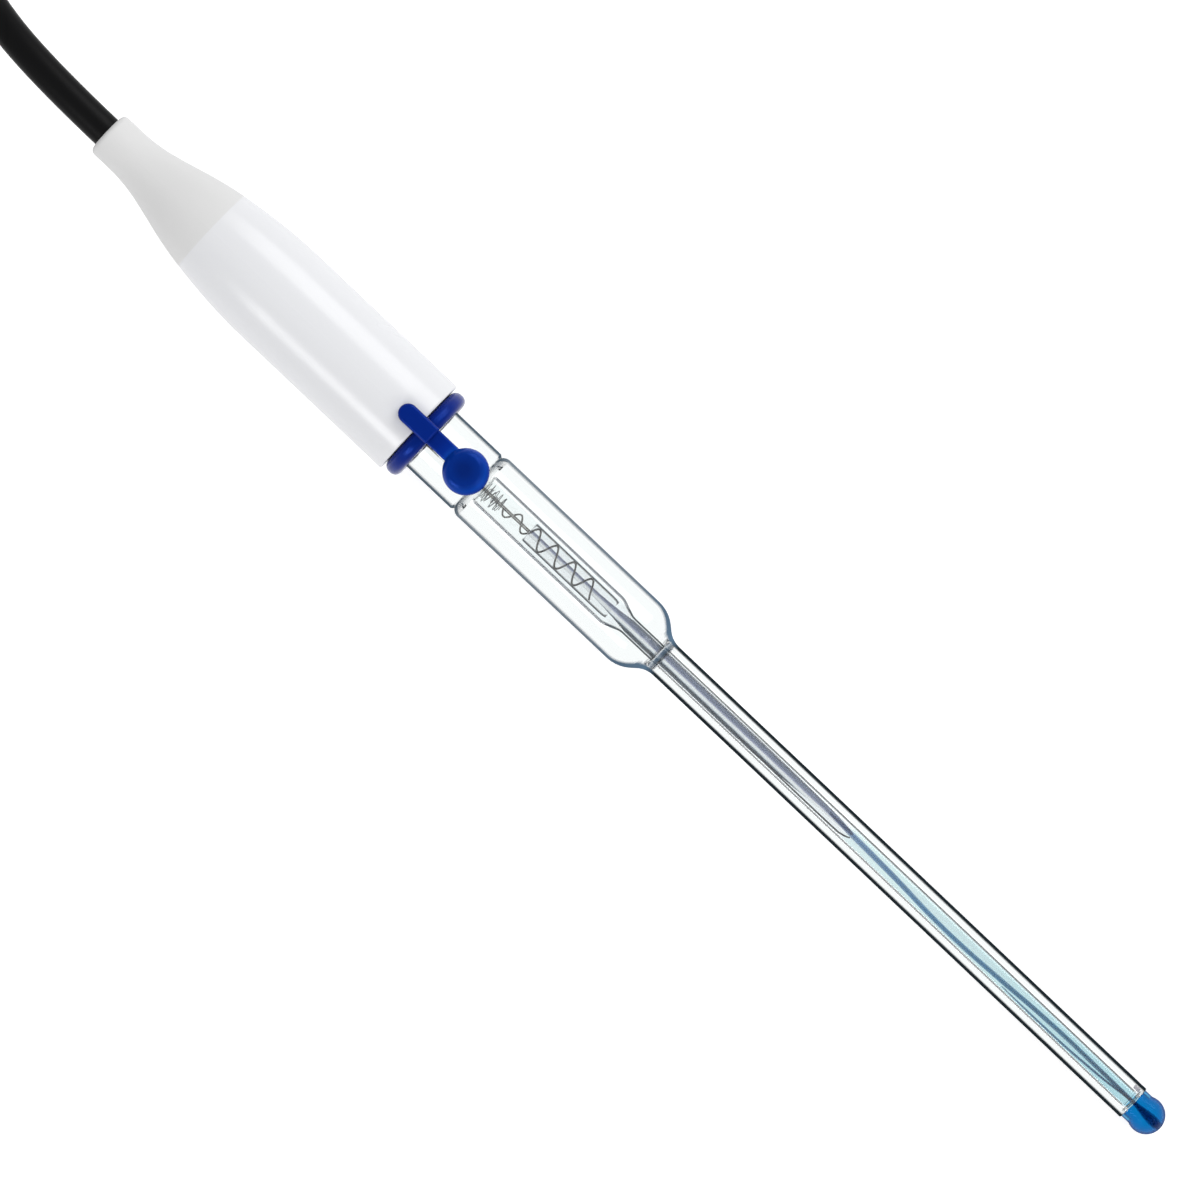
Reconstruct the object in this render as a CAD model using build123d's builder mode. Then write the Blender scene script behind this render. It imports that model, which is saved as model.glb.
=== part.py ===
from build123d import *
from math import acos, atan2, cos, degrees, hypot, pi, radians, sin, sqrt, tan
import os

# A glass combination pH electrode with a slim stem, lying as it comes to rest.
# Lengths in mm. Places along the electrode are measured from the cable end of its boot.

# Clearances shared by all pieces
fused_gap = 0.02
seat_gap = 0.1
soft_gap = 0.3
overrun = 1.0

# Cable boot
boot_length = 22.4
boot_end_r = 3.9
boot_wide_r = 7.5
boot_straight = 4.0
boot_edge_r = 0.9
boot_slope_share = 0.15
boot_handle_shares = (0.35, 0.44)
spigot_length = 4.6
spigot_r = 5.9
spigot_chamfer = 0.5
bead_height = 0.25
bead_width = 1.2

# Cap
cap_end = 66.8
cap_r = 8.7
cap_wall = 1.4
cap_flare = 14.6
cap_handle_shares = (0.34, 0.34)
cap_edge_r = 0.3

# Outer glass: upper chamber, body, shoulder and stem
glass_top = 45.0
chamber_r = 5.75
glass_wall = 0.7
body_r = 6.0
body_start = 80.0
waist_width = 1.0
waist_depth = 0.35
waist_rim = 0.4
waist_bore_gap = 0.5
waist_round = 1.5
shoulder_start = 114.9
shoulder_end = 118.3
shoulder_round = 5.8
shoulder_hollow = 4.0
stem_r = 3.0
stem_wall = 0.6
stem_end = 219.9
throat_width = 0.8
throat_ramp = 0.2
throat_gap = 0.25
refill_r = 1.7
refill_from_cap = 10.2

# Inner glass tube, from its neck in the cap to the ring seal at the bulb
neck_top = 43.0
neck_r = 1.3
neck_wall = 0.45
cell_r = 2.7
cell_start = 80.3
cell_end = 108.5
cell_taper = 2.9
cell_round = 0.9
tube_wall = 0.6
tube_r = 1.55
seal_width = 0.35
seal_round = 0.3

# Membrane bulb, junction and gel
bulb_r = 3.0
bulb_neck_r = 2.73
bulb_neck_length = 1.56
bulb_wall = 0.4
junction_r = 0.55
junction_to_end = 1.1
junction_depth = 1.25
gel_top = 90.5

# Inner reference rod, its leads, winding and wool
rod_r = 0.52
rod_wide_r = 0.8
rod_end = 159.5
rod_point = 5.0
rod_point_r = 0.15
lead_r = 0.25
coil_r = 1.05
coil_wire_r = 0.15
coil_pitch = 3.75
coil_turns = 5.2
wool_length = 3.7
wool_round = 0.8
reference_wire_r = 0.3
reference_wire_drop = 2.45
reference_wire_end = 78.2
bung_length = 6.0
potting_length = 18.0
potting_recess = 0.3

# Coaxial cable, and its stripped end inside the boot and cap
cable_r = 2.6
jacket_end_at = 15.0
braid_r = 1.85
insulation_r = 1.5
insulation_end = 31.0
core_r = 0.45
core_end = 35.0
crimp_wall = 0.8
crimp_start = 6.5
crimp_length = 7.0
screen_tail_r = 0.55
screen_tail_end = 34.0
sleeve_wall = 0.35
sleeve_length = 9.0

# Silicone refill stopper: a ring with a tab, and a plug on its strap
ring_width = 2.7
ring_r = 8.2
ring_edge_r = 1.2
tab_width = 3.2
tab_length = 4.1
tab_thickness = 1.5
tab_edge_r = 0.5
strap_width = 2.9
strap_thickness = 1.3
strap_top = 7.5
strap_edge_r = 0.4
strap_side = 0.4
strap_gap = 0.15
disc_r = 3.7
disc_top = 7.95
disc_edge_r = 0.8
nub_r = 1.4
nub_tip_r = 1.0
nub_reach = 1.5

# Bayonet plug, from the cable end of its boot to its open face
plug_boot_length = 16.0
plug_boot_end_r = 3.5
plug_boot_r = 4.4
plug_boot_ribs = 4
plug_rib_width = 0.9
plug_rib_depth = 0.5
ferrule_r = 3.3
ferrule_wall = 0.45
ferrule_length = 9.0
plug_body_r = 4.6
plug_body_start = 16.1
flange_start = 22.0
flange_width = 1.6
flange_r = 5.6
sleeve_r = 4.05
contact_wall = 0.5
plug_front = 35.2
finger_slots = 4
finger_slot_width = 0.5
finger_slot_length = 5.5
coupling_start = 20.4
coupling_end = 36.0
coupling_r = 7.25
coupling_bore_r = 4.9
coupling_lip = 1.0
coupling_edge_r = 0.5
grip_grooves = 20
grip_groove_r = 0.35
grip_length = 9.0
ramp_r = 1.05
ramp_entry = 2.2
ramp_rise = 4.2
ramp_turn_share = 0.25
plug_insulator_r = 3.5
plug_insulator_length = 6.0
pin_r = 0.68
pin_point = 0.8
pin_setback = 1.4
gasket_width = 0.9
washer_width = 0.4

# Free cord: its route to the hank, the hank, and the tail to the plug
fold_r = 16.6
lane = 5.3
hank_run = 70.0
hank_from_boot = 59.6
hank_side = -11.5
hank_edge_r = 2.4
tie_width = 8.0
tie_thickness = 0.9
tie_edge_r = 0.6
cord_stub = 8.0
plug_from_fold = 40.0
plug_side_step = -1.2
bend_share = 0.45

# Places worked out from those sizes
tip = stem_end + bulb_neck_length + sqrt(bulb_r**2 - bulb_neck_r**2) + bulb_r
bulb_centre = tip - bulb_r
rest_span = bulb_centre - (cap_end - cap_edge_r)
rest_drop = cap_r - cap_edge_r
tilt = acos((bulb_r - cap_edge_r) / hypot(rest_drop, rest_span)) - atan2(rest_span, rest_drop)
axis_height = bulb_r + bulb_centre * sin(tilt)
boot_reach = boot_edge_r * cos(tilt) - (boot_end_r - boot_edge_r) * sin(tilt) - boot_edge_r
tip_reach = bulb_centre * cos(tilt) + bulb_r
refill_at = cap_end + refill_from_cap
stem_bore_r = stem_r - stem_wall
tube_bore_r = tube_r - tube_wall
cell_bore_r = cell_r - tube_wall
cell_taper_end = cell_end + cell_taper
ring_start = cap_end + seat_gap
ring_face = ring_start + ring_width
strap_root = ring_face + strap_gap

# Planes of the tilted electrode: its upright section, seen from above, and across its axis
start = Vector(-(boot_reach + tip_reach) / 2, 0, axis_height)
along = Vector(cos(tilt), 0, -sin(tilt))
upright = Vector(sin(tilt), 0, cos(tilt))
section = Plane(origin=start, x_dir=along, z_dir=(0, -1, 0))
above = Plane(origin=start, x_dir=along, z_dir=upright)
stem_axis = Axis(start, along)


def across(place):
    return Plane(origin=start + along * place, x_dir=upright, z_dir=along)


os.makedirs("parts", exist_ok=True)

# Cable boot: a soft moulded strain relief that pushes into the cap
boot_bore_r = cable_r + seat_gap
crimp_r = cable_r + fused_gap + crimp_wall
flare = boot_length - boot_straight
with BuildPart() as cable_boot:
    with BuildSketch(section):
        with BuildLine():
            Line((0, boot_bore_r), (0, boot_end_r - boot_edge_r))
            RadiusArc((0, boot_end_r - boot_edge_r), (boot_edge_r, boot_end_r), boot_edge_r)
            Line((boot_edge_r, boot_end_r), (boot_straight, boot_end_r))
            Bezier(
                (boot_straight, boot_end_r),
                (boot_straight + boot_handle_shares[0] * flare, boot_end_r),
                (
                    boot_length - boot_handle_shares[1] * flare,
                    boot_wide_r - boot_handle_shares[1] * flare * boot_slope_share,
                ),
                (boot_length, boot_wide_r),
            )
            Polyline(
                (boot_length, boot_wide_r),
                (boot_length, spigot_r),
                (boot_length + spigot_length - spigot_chamfer, spigot_r),
                (boot_length + spigot_length, spigot_r - spigot_chamfer),
                (boot_length + spigot_length, crimp_r + soft_gap),
                (crimp_start - soft_gap, crimp_r + soft_gap),
                (crimp_start - soft_gap, boot_bore_r),
                (0, boot_bore_r),
            )
        make_face()
        with Locations((boot_length + spigot_length / 2, spigot_r)):
            Ellipse(bead_width / 2, bead_height)
    revolve(axis=stem_axis)
cable_boot.part.label = "cable_boot"
export_step(cable_boot.part, "parts/cable_boot.step")

# Cap: a moulded shell that widens from the boot to a straight barrel, open at its glass end
cap_full = boot_length + cap_flare
cap_bore_r = cap_r - cap_wall
with BuildPart() as cap_shell:
    with BuildSketch(section):
        with BuildLine():
            Bezier(
                (boot_length, boot_wide_r),
                (
                    boot_length + cap_handle_shares[0] * cap_flare,
                    boot_wide_r + cap_handle_shares[0] * cap_flare * boot_slope_share,
                ),
                (cap_full - cap_handle_shares[1] * cap_flare, cap_r),
                (cap_full, cap_r),
            )
            Line((cap_full, cap_r), (cap_end - cap_edge_r, cap_r))
            RadiusArc((cap_end - cap_edge_r, cap_r), (cap_end, cap_r - cap_edge_r), cap_edge_r)
            Polyline(
                (cap_end, cap_r - cap_edge_r),
                (cap_end, cap_bore_r),
                (cap_full, cap_bore_r),
                (boot_length + spigot_length + cap_wall, spigot_r + seat_gap),
                (boot_length, spigot_r + seat_gap),
                (boot_length, boot_wide_r),
            )
        make_face()
        with Locations((boot_length + spigot_length / 2, spigot_r)):
            Ellipse(bead_width / 2 + seat_gap, bead_height + seat_gap, mode=Mode.SUBTRACT)
    revolve(axis=stem_axis)
cap_shell.part.label = "cap_shell"
export_step(cap_shell.part, "parts/cap_shell.step")

# Potting: the resin ring that holds the glass in the cap
potting_end = cap_end - potting_recess
with BuildPart() as cap_potting:
    with BuildSketch(across(potting_end - potting_length)):
        Circle(cap_bore_r - fused_gap)
        Circle(chamber_r + fused_gap, mode=Mode.SUBTRACT)
    extrude(amount=potting_length)
cap_potting.part.label = "cap_potting"
export_step(cap_potting.part, "parts/cap_potting.step")

# Outer glass: one flame-worked tube. A waist between chamber and body, and a throat under
# the shoulder, reach in to centre the inner tube and leave a ring gap for the electrolyte.
waist_start = body_start - waist_width
waist_bore_r = cell_r + waist_bore_gap
throat_bore_r = tube_r + throat_gap
throat_start = shoulder_end - throat_ramp
throat_end = throat_start + throat_width
waist_middle = waist_start + waist_width / 2
with BuildPart() as outer_glass_body:
    with BuildSketch(section) as glass_profile:
        with BuildLine():
            Polyline(
                (glass_top, chamber_r),
                (waist_start, chamber_r),
                (waist_middle, chamber_r - waist_depth),
                (body_start, body_r),
                (shoulder_start, body_r),
                (shoulder_end, stem_r),
                (stem_end, stem_r),
                (stem_end, stem_bore_r),
                (throat_end + throat_ramp, stem_bore_r),
                (throat_end, throat_bore_r),
                (throat_start, throat_bore_r),
                (throat_start - throat_ramp, stem_bore_r),
                (shoulder_start - glass_wall / 2, body_r - glass_wall),
                (body_start + glass_wall, body_r - glass_wall),
                (waist_middle + waist_rim / 2, waist_bore_r),
                (waist_middle - waist_rim / 2, waist_bore_r),
                (waist_middle - waist_rim, chamber_r - glass_wall),
                (glass_top, chamber_r - glass_wall),
                close=True,
            )
        make_face()
        corners = glass_profile.vertices()
        fillet(corners.sort_by_distance((body_start, body_r))[0], waist_round)
        corners = glass_profile.vertices()
        fillet(corners.sort_by_distance((shoulder_start, body_r))[0], shoulder_round)
        corners = glass_profile.vertices()
        fillet(corners.sort_by_distance((shoulder_end, stem_r))[0], shoulder_hollow)
        corners = glass_profile.vertices()
        inner_corner = (shoulder_start - glass_wall / 2, body_r - glass_wall)
        fillet(corners.sort_by_distance(inner_corner)[0], shoulder_round - glass_wall)
    revolve(axis=stem_axis)
    with BuildSketch(above):
        with Locations((refill_at, 0)):
            Circle(refill_r)
    extrude(amount=chamber_r + overrun, mode=Mode.SUBTRACT)
    with BuildSketch(Plane(origin=start, x_dir=along, z_dir=(0, 1, 0))):
        with Locations((stem_end - junction_to_end, 0)):
            Circle(junction_r + fused_gap)
    extrude(amount=stem_r + overrun, mode=Mode.SUBTRACT)
outer_glass_body.part.label = "outer_glass_body"
export_step(outer_glass_body.part, "parts/outer_glass_body.step")

# Inner glass tube: a thin neck up into the cap, the wide cell, then the narrow tube to its
# ring seal, where it is fused to the stem and to the bulb
with BuildPart() as inner_glass_tube:
    with BuildSketch(section) as tube_profile:
        with BuildLine():
            Polyline(
                (neck_top, neck_r),
                (cell_start - cell_round, neck_r),
                (cell_start, cell_r),
                (cell_end, cell_r),
                (cell_taper_end, tube_r),
                (stem_end - seal_width - seal_round, tube_r),
                (stem_end - seal_width, stem_bore_r - fused_gap),
                (stem_end, stem_bore_r - fused_gap),
                (stem_end, tube_bore_r),
                (cell_taper_end - tube_wall / 2, tube_bore_r),
                (cell_end - tube_wall / 2, cell_bore_r),
                (cell_start + tube_wall, cell_bore_r),
                (cell_start - cell_round + tube_wall, neck_r - neck_wall),
                (neck_top, neck_r - neck_wall),
                close=True,
            )
        make_face()
        corners = tube_profile.vertices()
        fillet(corners.sort_by_distance((cell_start, cell_r))[0], cell_round)
        corners = tube_profile.vertices()
        fillet(corners.sort_by_distance((cell_end, cell_r))[0], cell_taper)
        corners = tube_profile.vertices()
        fillet(corners.sort_by_distance((cell_taper_end, tube_r))[0], cell_taper)
    revolve(axis=stem_axis)
inner_glass_tube.part.label = "inner_glass_tube"
export_step(inner_glass_tube.part, "parts/inner_glass_tube.step")

# Membrane bulb: thin pH glass, a short neck blown out to a round end
bulb_bore_r = bulb_r - bulb_wall
neck_bore_r = bulb_neck_r - bulb_wall
bulb_shoulder = sqrt(bulb_r**2 - bulb_neck_r**2)
bore_shoulder = sqrt(bulb_bore_r**2 - neck_bore_r**2)
with BuildPart() as membrane_bulb:
    with BuildSketch(section):
        with BuildLine():
            Polyline(
                (bulb_centre - bore_shoulder, neck_bore_r),
                (stem_end, neck_bore_r),
                (stem_end, bulb_neck_r),
                (bulb_centre - bulb_shoulder, bulb_neck_r),
            )
            ThreePointArc(
                (bulb_centre - bulb_shoulder, bulb_neck_r), (bulb_centre, bulb_r), (tip, 0)
            )
            Line((tip, 0), (tip - bulb_wall, 0))
            ThreePointArc(
                (tip - bulb_wall, 0),
                (bulb_centre, bulb_bore_r),
                (bulb_centre - bore_shoulder, neck_bore_r),
            )
        make_face()
    revolve(axis=stem_axis)
membrane_bulb.part.label = "membrane_bulb"
export_step(membrane_bulb.part, "parts/membrane_bulb.step")

# Ceramic junction: a porous pin fused through the stem's wall beside the bulb
with BuildPart() as ceramic_junction:
    with BuildSketch(
        Plane(
            origin=start + along * (stem_end - junction_to_end) + Vector(0, stem_r - junction_depth, 0),
            x_dir=along,
            z_dir=(0, 1, 0),
        )
    ):
        Circle(junction_r)
    extrude(amount=junction_depth)
ceramic_junction.part.label = "ceramic_junction"
export_step(ceramic_junction.part, "parts/ceramic_junction.step")

# Inner reference rod: slim in the wide cell, thicker in the tube, drawn to a point
with BuildPart() as reference_rod:
    with BuildSketch(section):
        with BuildLine():
            Polyline(
                (gel_top, 0),
                (gel_top, rod_r),
                (cell_end, rod_r),
                (cell_taper_end, rod_wide_r),
                (rod_end - rod_point, rod_wide_r),
                (rod_end, rod_point_r),
                (rod_end, 0),
                close=True,
            )
        make_face()
    revolve(axis=stem_axis)
reference_rod.part.label = "reference_rod"
export_step(reference_rod.part, "parts/reference_rod.step")

# Wire coil: fine silver wire wound in a loose helix round the lead and the rod
wool_start = cell_start + tube_wall + seat_gap
wool_end = wool_start + wool_length
coil_start = wool_end + soft_gap
coil_foot = start + along * coil_start
with BuildPart() as wire_coil:
    with BuildLine():
        turns = Helix(coil_pitch, coil_pitch * coil_turns, coil_r, center=coil_foot, direction=along)
    with BuildSketch(Plane(origin=turns @ 0, z_dir=turns % 0)):
        Circle(coil_wire_r)
    sweep(path=turns, is_frenet=True)
wire_coil.part.label = "wire_coil"
export_step(wire_coil.part, "parts/wire_coil.step")

# Gel: fills the wide cell from its level, the tube round the rod, and the bulb
gel_r = cell_bore_r - fused_gap
gel_tube_r = tube_bore_r - fused_gap
rod_gap = fused_gap
with BuildPart() as inner_gel:
    with BuildSketch(section):
        with BuildLine():
            Polyline(
                (bulb_centre - bore_shoulder, neck_bore_r - fused_gap),
                (stem_end + fused_gap, neck_bore_r - fused_gap),
                (stem_end + fused_gap, gel_tube_r),
                (cell_taper_end - tube_wall / 2 - fused_gap, gel_tube_r),
                (cell_end - tube_wall / 2 - fused_gap, gel_r),
                (gel_top, gel_r),
                (gel_top, rod_r + rod_gap),
                (cell_end, rod_r + rod_gap),
                (cell_taper_end, rod_wide_r + rod_gap),
                (rod_end - rod_point, rod_wide_r + rod_gap),
                (rod_end, rod_point_r + rod_gap),
                (rod_end + rod_gap, 0),
                (tip - bulb_wall - fused_gap, 0),
            )
            ThreePointArc(
                (tip - bulb_wall - fused_gap, 0),
                (bulb_centre, bulb_bore_r - fused_gap),
                (bulb_centre - bore_shoulder, neck_bore_r - fused_gap),
            )
        make_face()
    revolve(axis=stem_axis)
    with BuildLine():
        tunnel = Helix(coil_pitch, coil_pitch * coil_turns, coil_r, center=coil_foot, direction=along)
    with BuildSketch(Plane(origin=tunnel @ 0, z_dir=tunnel % 0)):
        Circle(coil_wire_r + fused_gap)
    sweep(path=tunnel, is_frenet=True, mode=Mode.SUBTRACT)
inner_gel.part.label = "inner_gel"
export_step(inner_gel.part, "parts/inner_gel.step")

# Glass wool plug at the top of the cell, round the lead
with BuildPart() as glass_wool_plug:
    with BuildSketch(across(wool_start)):
        Circle(cell_bore_r - seat_gap)
    extrude(amount=wool_length)
    fillet(glass_wool_plug.edges().filter_by(GeomType.CIRCLE), wool_round)
    with BuildSketch(across(wool_start)):
        Circle(lead_r + fused_gap)
    extrude(amount=wool_length, mode=Mode.SUBTRACT)
glass_wool_plug.part.label = "glass_wool_plug"
export_step(glass_wool_plug.part, "parts/glass_wool_plug.step")

# Lead wire of the inner half-cell, from the cable's core down the neck to the rod
with BuildPart() as lead_wire:
    with BuildSketch(across(core_end + fused_gap)):
        Circle(lead_r)
    extrude(amount=gel_top - core_end - 2 * fused_gap)
lead_wire.part.label = "lead_wire"
export_step(lead_wire.part, "parts/lead_wire.step")

# Bung: closes the glass under the cap round the neck and the reference wire
with BuildPart() as glass_top_bung:
    with BuildSketch(across(glass_top)):
        Circle(chamber_r - glass_wall - fused_gap)
        Circle(neck_r + fused_gap, mode=Mode.SUBTRACT)
        with Locations((-reference_wire_drop, 0)):
            Circle(reference_wire_r + fused_gap, mode=Mode.SUBTRACT)
    extrude(amount=bung_length)
glass_top_bung.part.label = "glass_top_bung"
export_step(glass_top_bung.part, "parts/glass_top_bung.step")

# Reference wire: coated silver, from the cable's screen down into the upper chamber
with BuildPart() as reference_wire:
    with BuildSketch(across(screen_tail_end + fused_gap)):
        with Locations((-reference_wire_drop, 0)):
            Circle(reference_wire_r)
    extrude(amount=reference_wire_end - screen_tail_end - fused_gap)
    tips = reference_wire.faces().sort_by(stem_axis)[-1].edges()
    fillet(tips, reference_wire_r / 2)
reference_wire.part.label = "reference_wire"
export_step(reference_wire.part, "parts/reference_wire.step")

# Stripped cable end: jacket, insulation, core and the twisted tail of the screen
with BuildPart() as jacket_end:
    with BuildSketch(across(0)):
        Circle(cable_r)
        Circle(braid_r, mode=Mode.SUBTRACT)
    extrude(amount=jacket_end_at)
jacket_end.part.label = "jacket_end"
export_step(jacket_end.part, "parts/jacket_end.step")

with BuildPart() as coax_insulation:
    with BuildSketch(across(0)):
        Circle(insulation_r)
        Circle(core_r + fused_gap, mode=Mode.SUBTRACT)
    extrude(amount=insulation_end)
coax_insulation.part.label = "coax_insulation"
export_step(coax_insulation.part, "parts/coax_insulation.step")

with BuildPart() as coax_core:
    with BuildSketch(across(0)):
        Circle(core_r)
    extrude(amount=core_end)
coax_core.part.label = "coax_core"
export_step(coax_core.part, "parts/coax_core.step")

with BuildPart() as screen_tail:
    with BuildSketch(across(jacket_end_at)):
        with Locations((-reference_wire_drop, 0)):
            Circle(screen_tail_r)
    extrude(amount=screen_tail_end - jacket_end_at)
screen_tail.part.label = "screen_tail"
export_step(screen_tail.part, "parts/screen_tail.step")

# Crimp ring: grips the jacket inside the boot, so a pull never reaches the joints
with BuildPart() as cable_crimp:
    with BuildSketch(across(crimp_start)):
        Circle(crimp_r)
        Circle(cable_r + fused_gap, mode=Mode.SUBTRACT)
    extrude(amount=crimp_length)
    chamfer(cable_crimp.edges().filter_by(GeomType.CIRCLE).group_by(SortBy.RADIUS)[-1], crimp_wall / 3)
cable_crimp.part.label = "cable_crimp"
export_step(cable_crimp.part, "parts/cable_crimp.step")

# Shrink sleeves over the two soldered joints
with BuildPart() as core_sleeve:
    with BuildSketch(across(insulation_end + fused_gap)):
        Circle(core_r + fused_gap + sleeve_wall)
        Circle(core_r + fused_gap, mode=Mode.SUBTRACT)
    extrude(amount=sleeve_length)
core_sleeve.part.label = "core_sleeve"
export_step(core_sleeve.part, "parts/core_sleeve.step")

with BuildPart() as screen_sleeve:
    with BuildSketch(across(screen_tail_end - sleeve_length / 2)):
        with Locations((-reference_wire_drop, 0)):
            Circle(screen_tail_r + fused_gap + sleeve_wall)
            Circle(screen_tail_r + fused_gap, mode=Mode.SUBTRACT)
    extrude(amount=sleeve_length)
screen_sleeve.part.label = "screen_sleeve"
export_step(screen_sleeve.part, "parts/screen_sleeve.step")

# Stopper ring: a silicone ring stretched on the glass against the cap, with a pull tab
tab_low = cap_r + seat_gap
tab_start = ring_start - tab_length
with BuildPart() as stopper_ring:
    with BuildSketch(section) as ring_profile:
        with BuildLine():
            Polyline(
                (ring_start, chamber_r + fused_gap),
                (ring_start, ring_r),
                (ring_face, ring_r),
                (ring_face, chamber_r + fused_gap),
                close=True,
            )
        make_face()
        rim = ring_profile.vertices().group_by(Axis.Y)[-1]
        fillet(rim, ring_edge_r)
    revolve(axis=stem_axis)
    with BuildSketch(above.offset(ring_r - ring_edge_r)):
        with Locations(((ring_start + ring_face) / 2, strap_side)):
            Rectangle(ring_width, tab_width)
    extrude(amount=tab_low + tab_thickness - ring_r + ring_edge_r)
    with BuildSketch(above.offset(tab_low)):
        with Locations(((tab_start + tab_width / 2 + ring_face) / 2, strap_side)):
            Rectangle(ring_face - tab_start - tab_width / 2, tab_width)
        with Locations((tab_start + tab_width / 2, strap_side)):
            Circle(tab_width / 2)
    extrude(amount=tab_thickness)
    tab_top = stopper_ring.faces().sort_by(Axis(start, upright))[-1]
    fillet(tab_top.edges(), tab_edge_r)
stopper_ring.part.label = "stopper_ring"
export_step(stopper_ring.part, "parts/stopper_ring.step")

# Refill stopper: the strap, a round pad that hugs the glass, and the nub in the refill hole
strap_low = strap_top - strap_thickness
with BuildPart() as refill_stopper:
    with BuildSketch(above.offset(strap_low)):
        with Locations(((strap_root + refill_at) / 2, strap_side)):
            Rectangle(refill_at - strap_root, strap_width)
    extrude(amount=strap_thickness)
    strap_face = refill_stopper.faces().sort_by(Axis(start, upright))[-1]
    fillet(strap_face.edges().filter_by(stem_axis), strap_edge_r)
    with BuildSketch(above):
        with Locations((refill_at, 0)):
            Circle(disc_r)
    extrude(amount=disc_top)
    pad_top = refill_stopper.faces().sort_by(Axis(start, upright))[-1]
    fillet(pad_top.edges(), disc_edge_r)
    with BuildSketch(across(strap_root - overrun)):
        Circle(chamber_r + soft_gap)
    extrude(amount=refill_at + disc_r - strap_root + 2 * overrun, mode=Mode.SUBTRACT)
    with BuildSketch(above.offset(chamber_r - nub_reach)):
        with Locations((refill_at, 0)):
            Circle(nub_tip_r)
    with BuildSketch(above.offset(strap_low + soft_gap)):
        with Locations((refill_at, 0)):
            Circle(nub_r)
    loft()
refill_stopper.part.label = "refill_stopper"
export_step(refill_stopper.part, "parts/refill_stopper.step")

# Places of the hank and of the plug that lies inside it
exit_point = start
near_fold = Vector(exit_point.X - hank_from_boot, hank_side, 0)
far_fold = near_fold - Vector(hank_run, 0, 0)
outer_lane = fold_r + lane
hank_height = 2 * cable_r + lane
upper_lane_height = cable_r + lane
tie_lift = tie_thickness + fused_gap
plug_start = Vector(far_fold.X + plug_from_fold, hank_side + plug_side_step, coupling_r)

# Free cord to the hank: straight out of the boot, down to the floor and across to its lane
cord_route = [
    exit_point,
    exit_point + Vector(-15, 0, 0.55),
    Vector(exit_point.X - 30, 2.2, 6.2),
    Vector(exit_point.X - 44, 7.4, cable_r),
    Vector(exit_point.X - 58, hank_side + outer_lane, cable_r + 0.05),
    Vector(near_fold.X - cord_stub, hank_side + outer_lane - 0.05, cable_r),
]

# Tail: leaves the upper turn past the far fold and swings in to the plug
tail_route = [
    Vector(far_fold.X - 12, hank_side - fold_r, upper_lane_height),
    Vector(far_fold.X, hank_side - fold_r - 0.05, upper_lane_height),
    Vector(far_fold.X + 12, hank_side - 11.6, upper_lane_height - 0.1),
    Vector(far_fold.X + 24, hank_side - 4.6, upper_lane_height - 0.4),
    Vector(far_fold.X + 35, plug_start.Y, plug_start.Z),
    Vector(plug_start.X + 6, plug_start.Y, plug_start.Z),
]


def bend_radii(route):
    """The largest tangent arc that each corner's two runs allow."""
    radii = []
    for before, corner, after in zip(route, route[1:], route[2:]):
        turn = radians((corner - before).get_angle(after - corner))
        shorter = min((corner - before).length, (after - corner).length)
        radii.append(bend_share * shorter / tan(turn / 2))
    return radii


for route_name, route in (("cable", cord_route), ("cable_tail", tail_route)):
    print(route_name, "bend radii", [round(radius, 1) for radius in bend_radii(route)])

with BuildPart() as cable:
    with BuildLine():
        cord_path = FilletPolyline(*cord_route, radius=bend_radii(cord_route))
    with BuildSketch(Plane(origin=cord_path @ 0, z_dir=cord_path % 0)):
        Circle(cable_r)
    sweep(path=cord_path)
cable.part.label = "cable"
export_step(cable.part, "parts/cable.step")
print("cable volume over section times length", cable.part.volume / (pi * cable_r**2 * cord_path.length))

with BuildPart() as cable_tail:
    with BuildLine():
        tail_path = FilletPolyline(*tail_route, radius=bend_radii(tail_route))
    with BuildSketch(Plane(origin=tail_path @ 0, z_dir=tail_path % 0)):
        Circle(cable_r)
    sweep(path=tail_path)
cable_tail.part.label = "cable_tail"
export_step(cable_tail.part, "parts/cable_tail.step")
print("tail volume over section times length", cable_tail.part.volume / (pi * cable_r**2 * tail_path.length))

# Hank: the outer shape of the put-away turns, lifted where the ties pass underneath
hank_middle = (near_fold + far_fold) / 2
tie_middle = (fold_r + outer_lane) / 2
tie_bed = tie_width + 2 * soft_gap
with BuildPart() as cable_hank:
    with BuildSketch(Plane.XY):
        with Locations(hank_middle):
            SlotCenterToCenter(hank_run, 2 * (outer_lane + cable_r))
            SlotCenterToCenter(hank_run, 2 * (fold_r - cable_r), mode=Mode.SUBTRACT)
    extrude(amount=hank_height)
    rims = cable_hank.faces().filter_by(Axis.Z).edges()
    fillet(rims, hank_edge_r)
    with BuildSketch(Plane.XY):
        with Locations(hank_middle):
            Rectangle(tie_bed, 2 * (outer_lane + cable_r + overrun))
    extrude(amount=tie_lift, mode=Mode.SUBTRACT)
    with BuildSketch(
        Plane(
            origin=hank_middle + Vector(-tie_bed / 2, 0, tie_lift + hank_height / 2),
            x_dir=(0, 1, 0),
            z_dir=(1, 0, 0),
        )
    ):
        with Locations((-tie_middle, 0), (tie_middle, 0)):
            RectangleRounded(lane + 2 * cable_r, hank_height, hank_edge_r)
    extrude(amount=tie_bed)
cable_hank.part.label = "cable_hank"
export_step(cable_hank.part, "parts/cable_hank.step")

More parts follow.
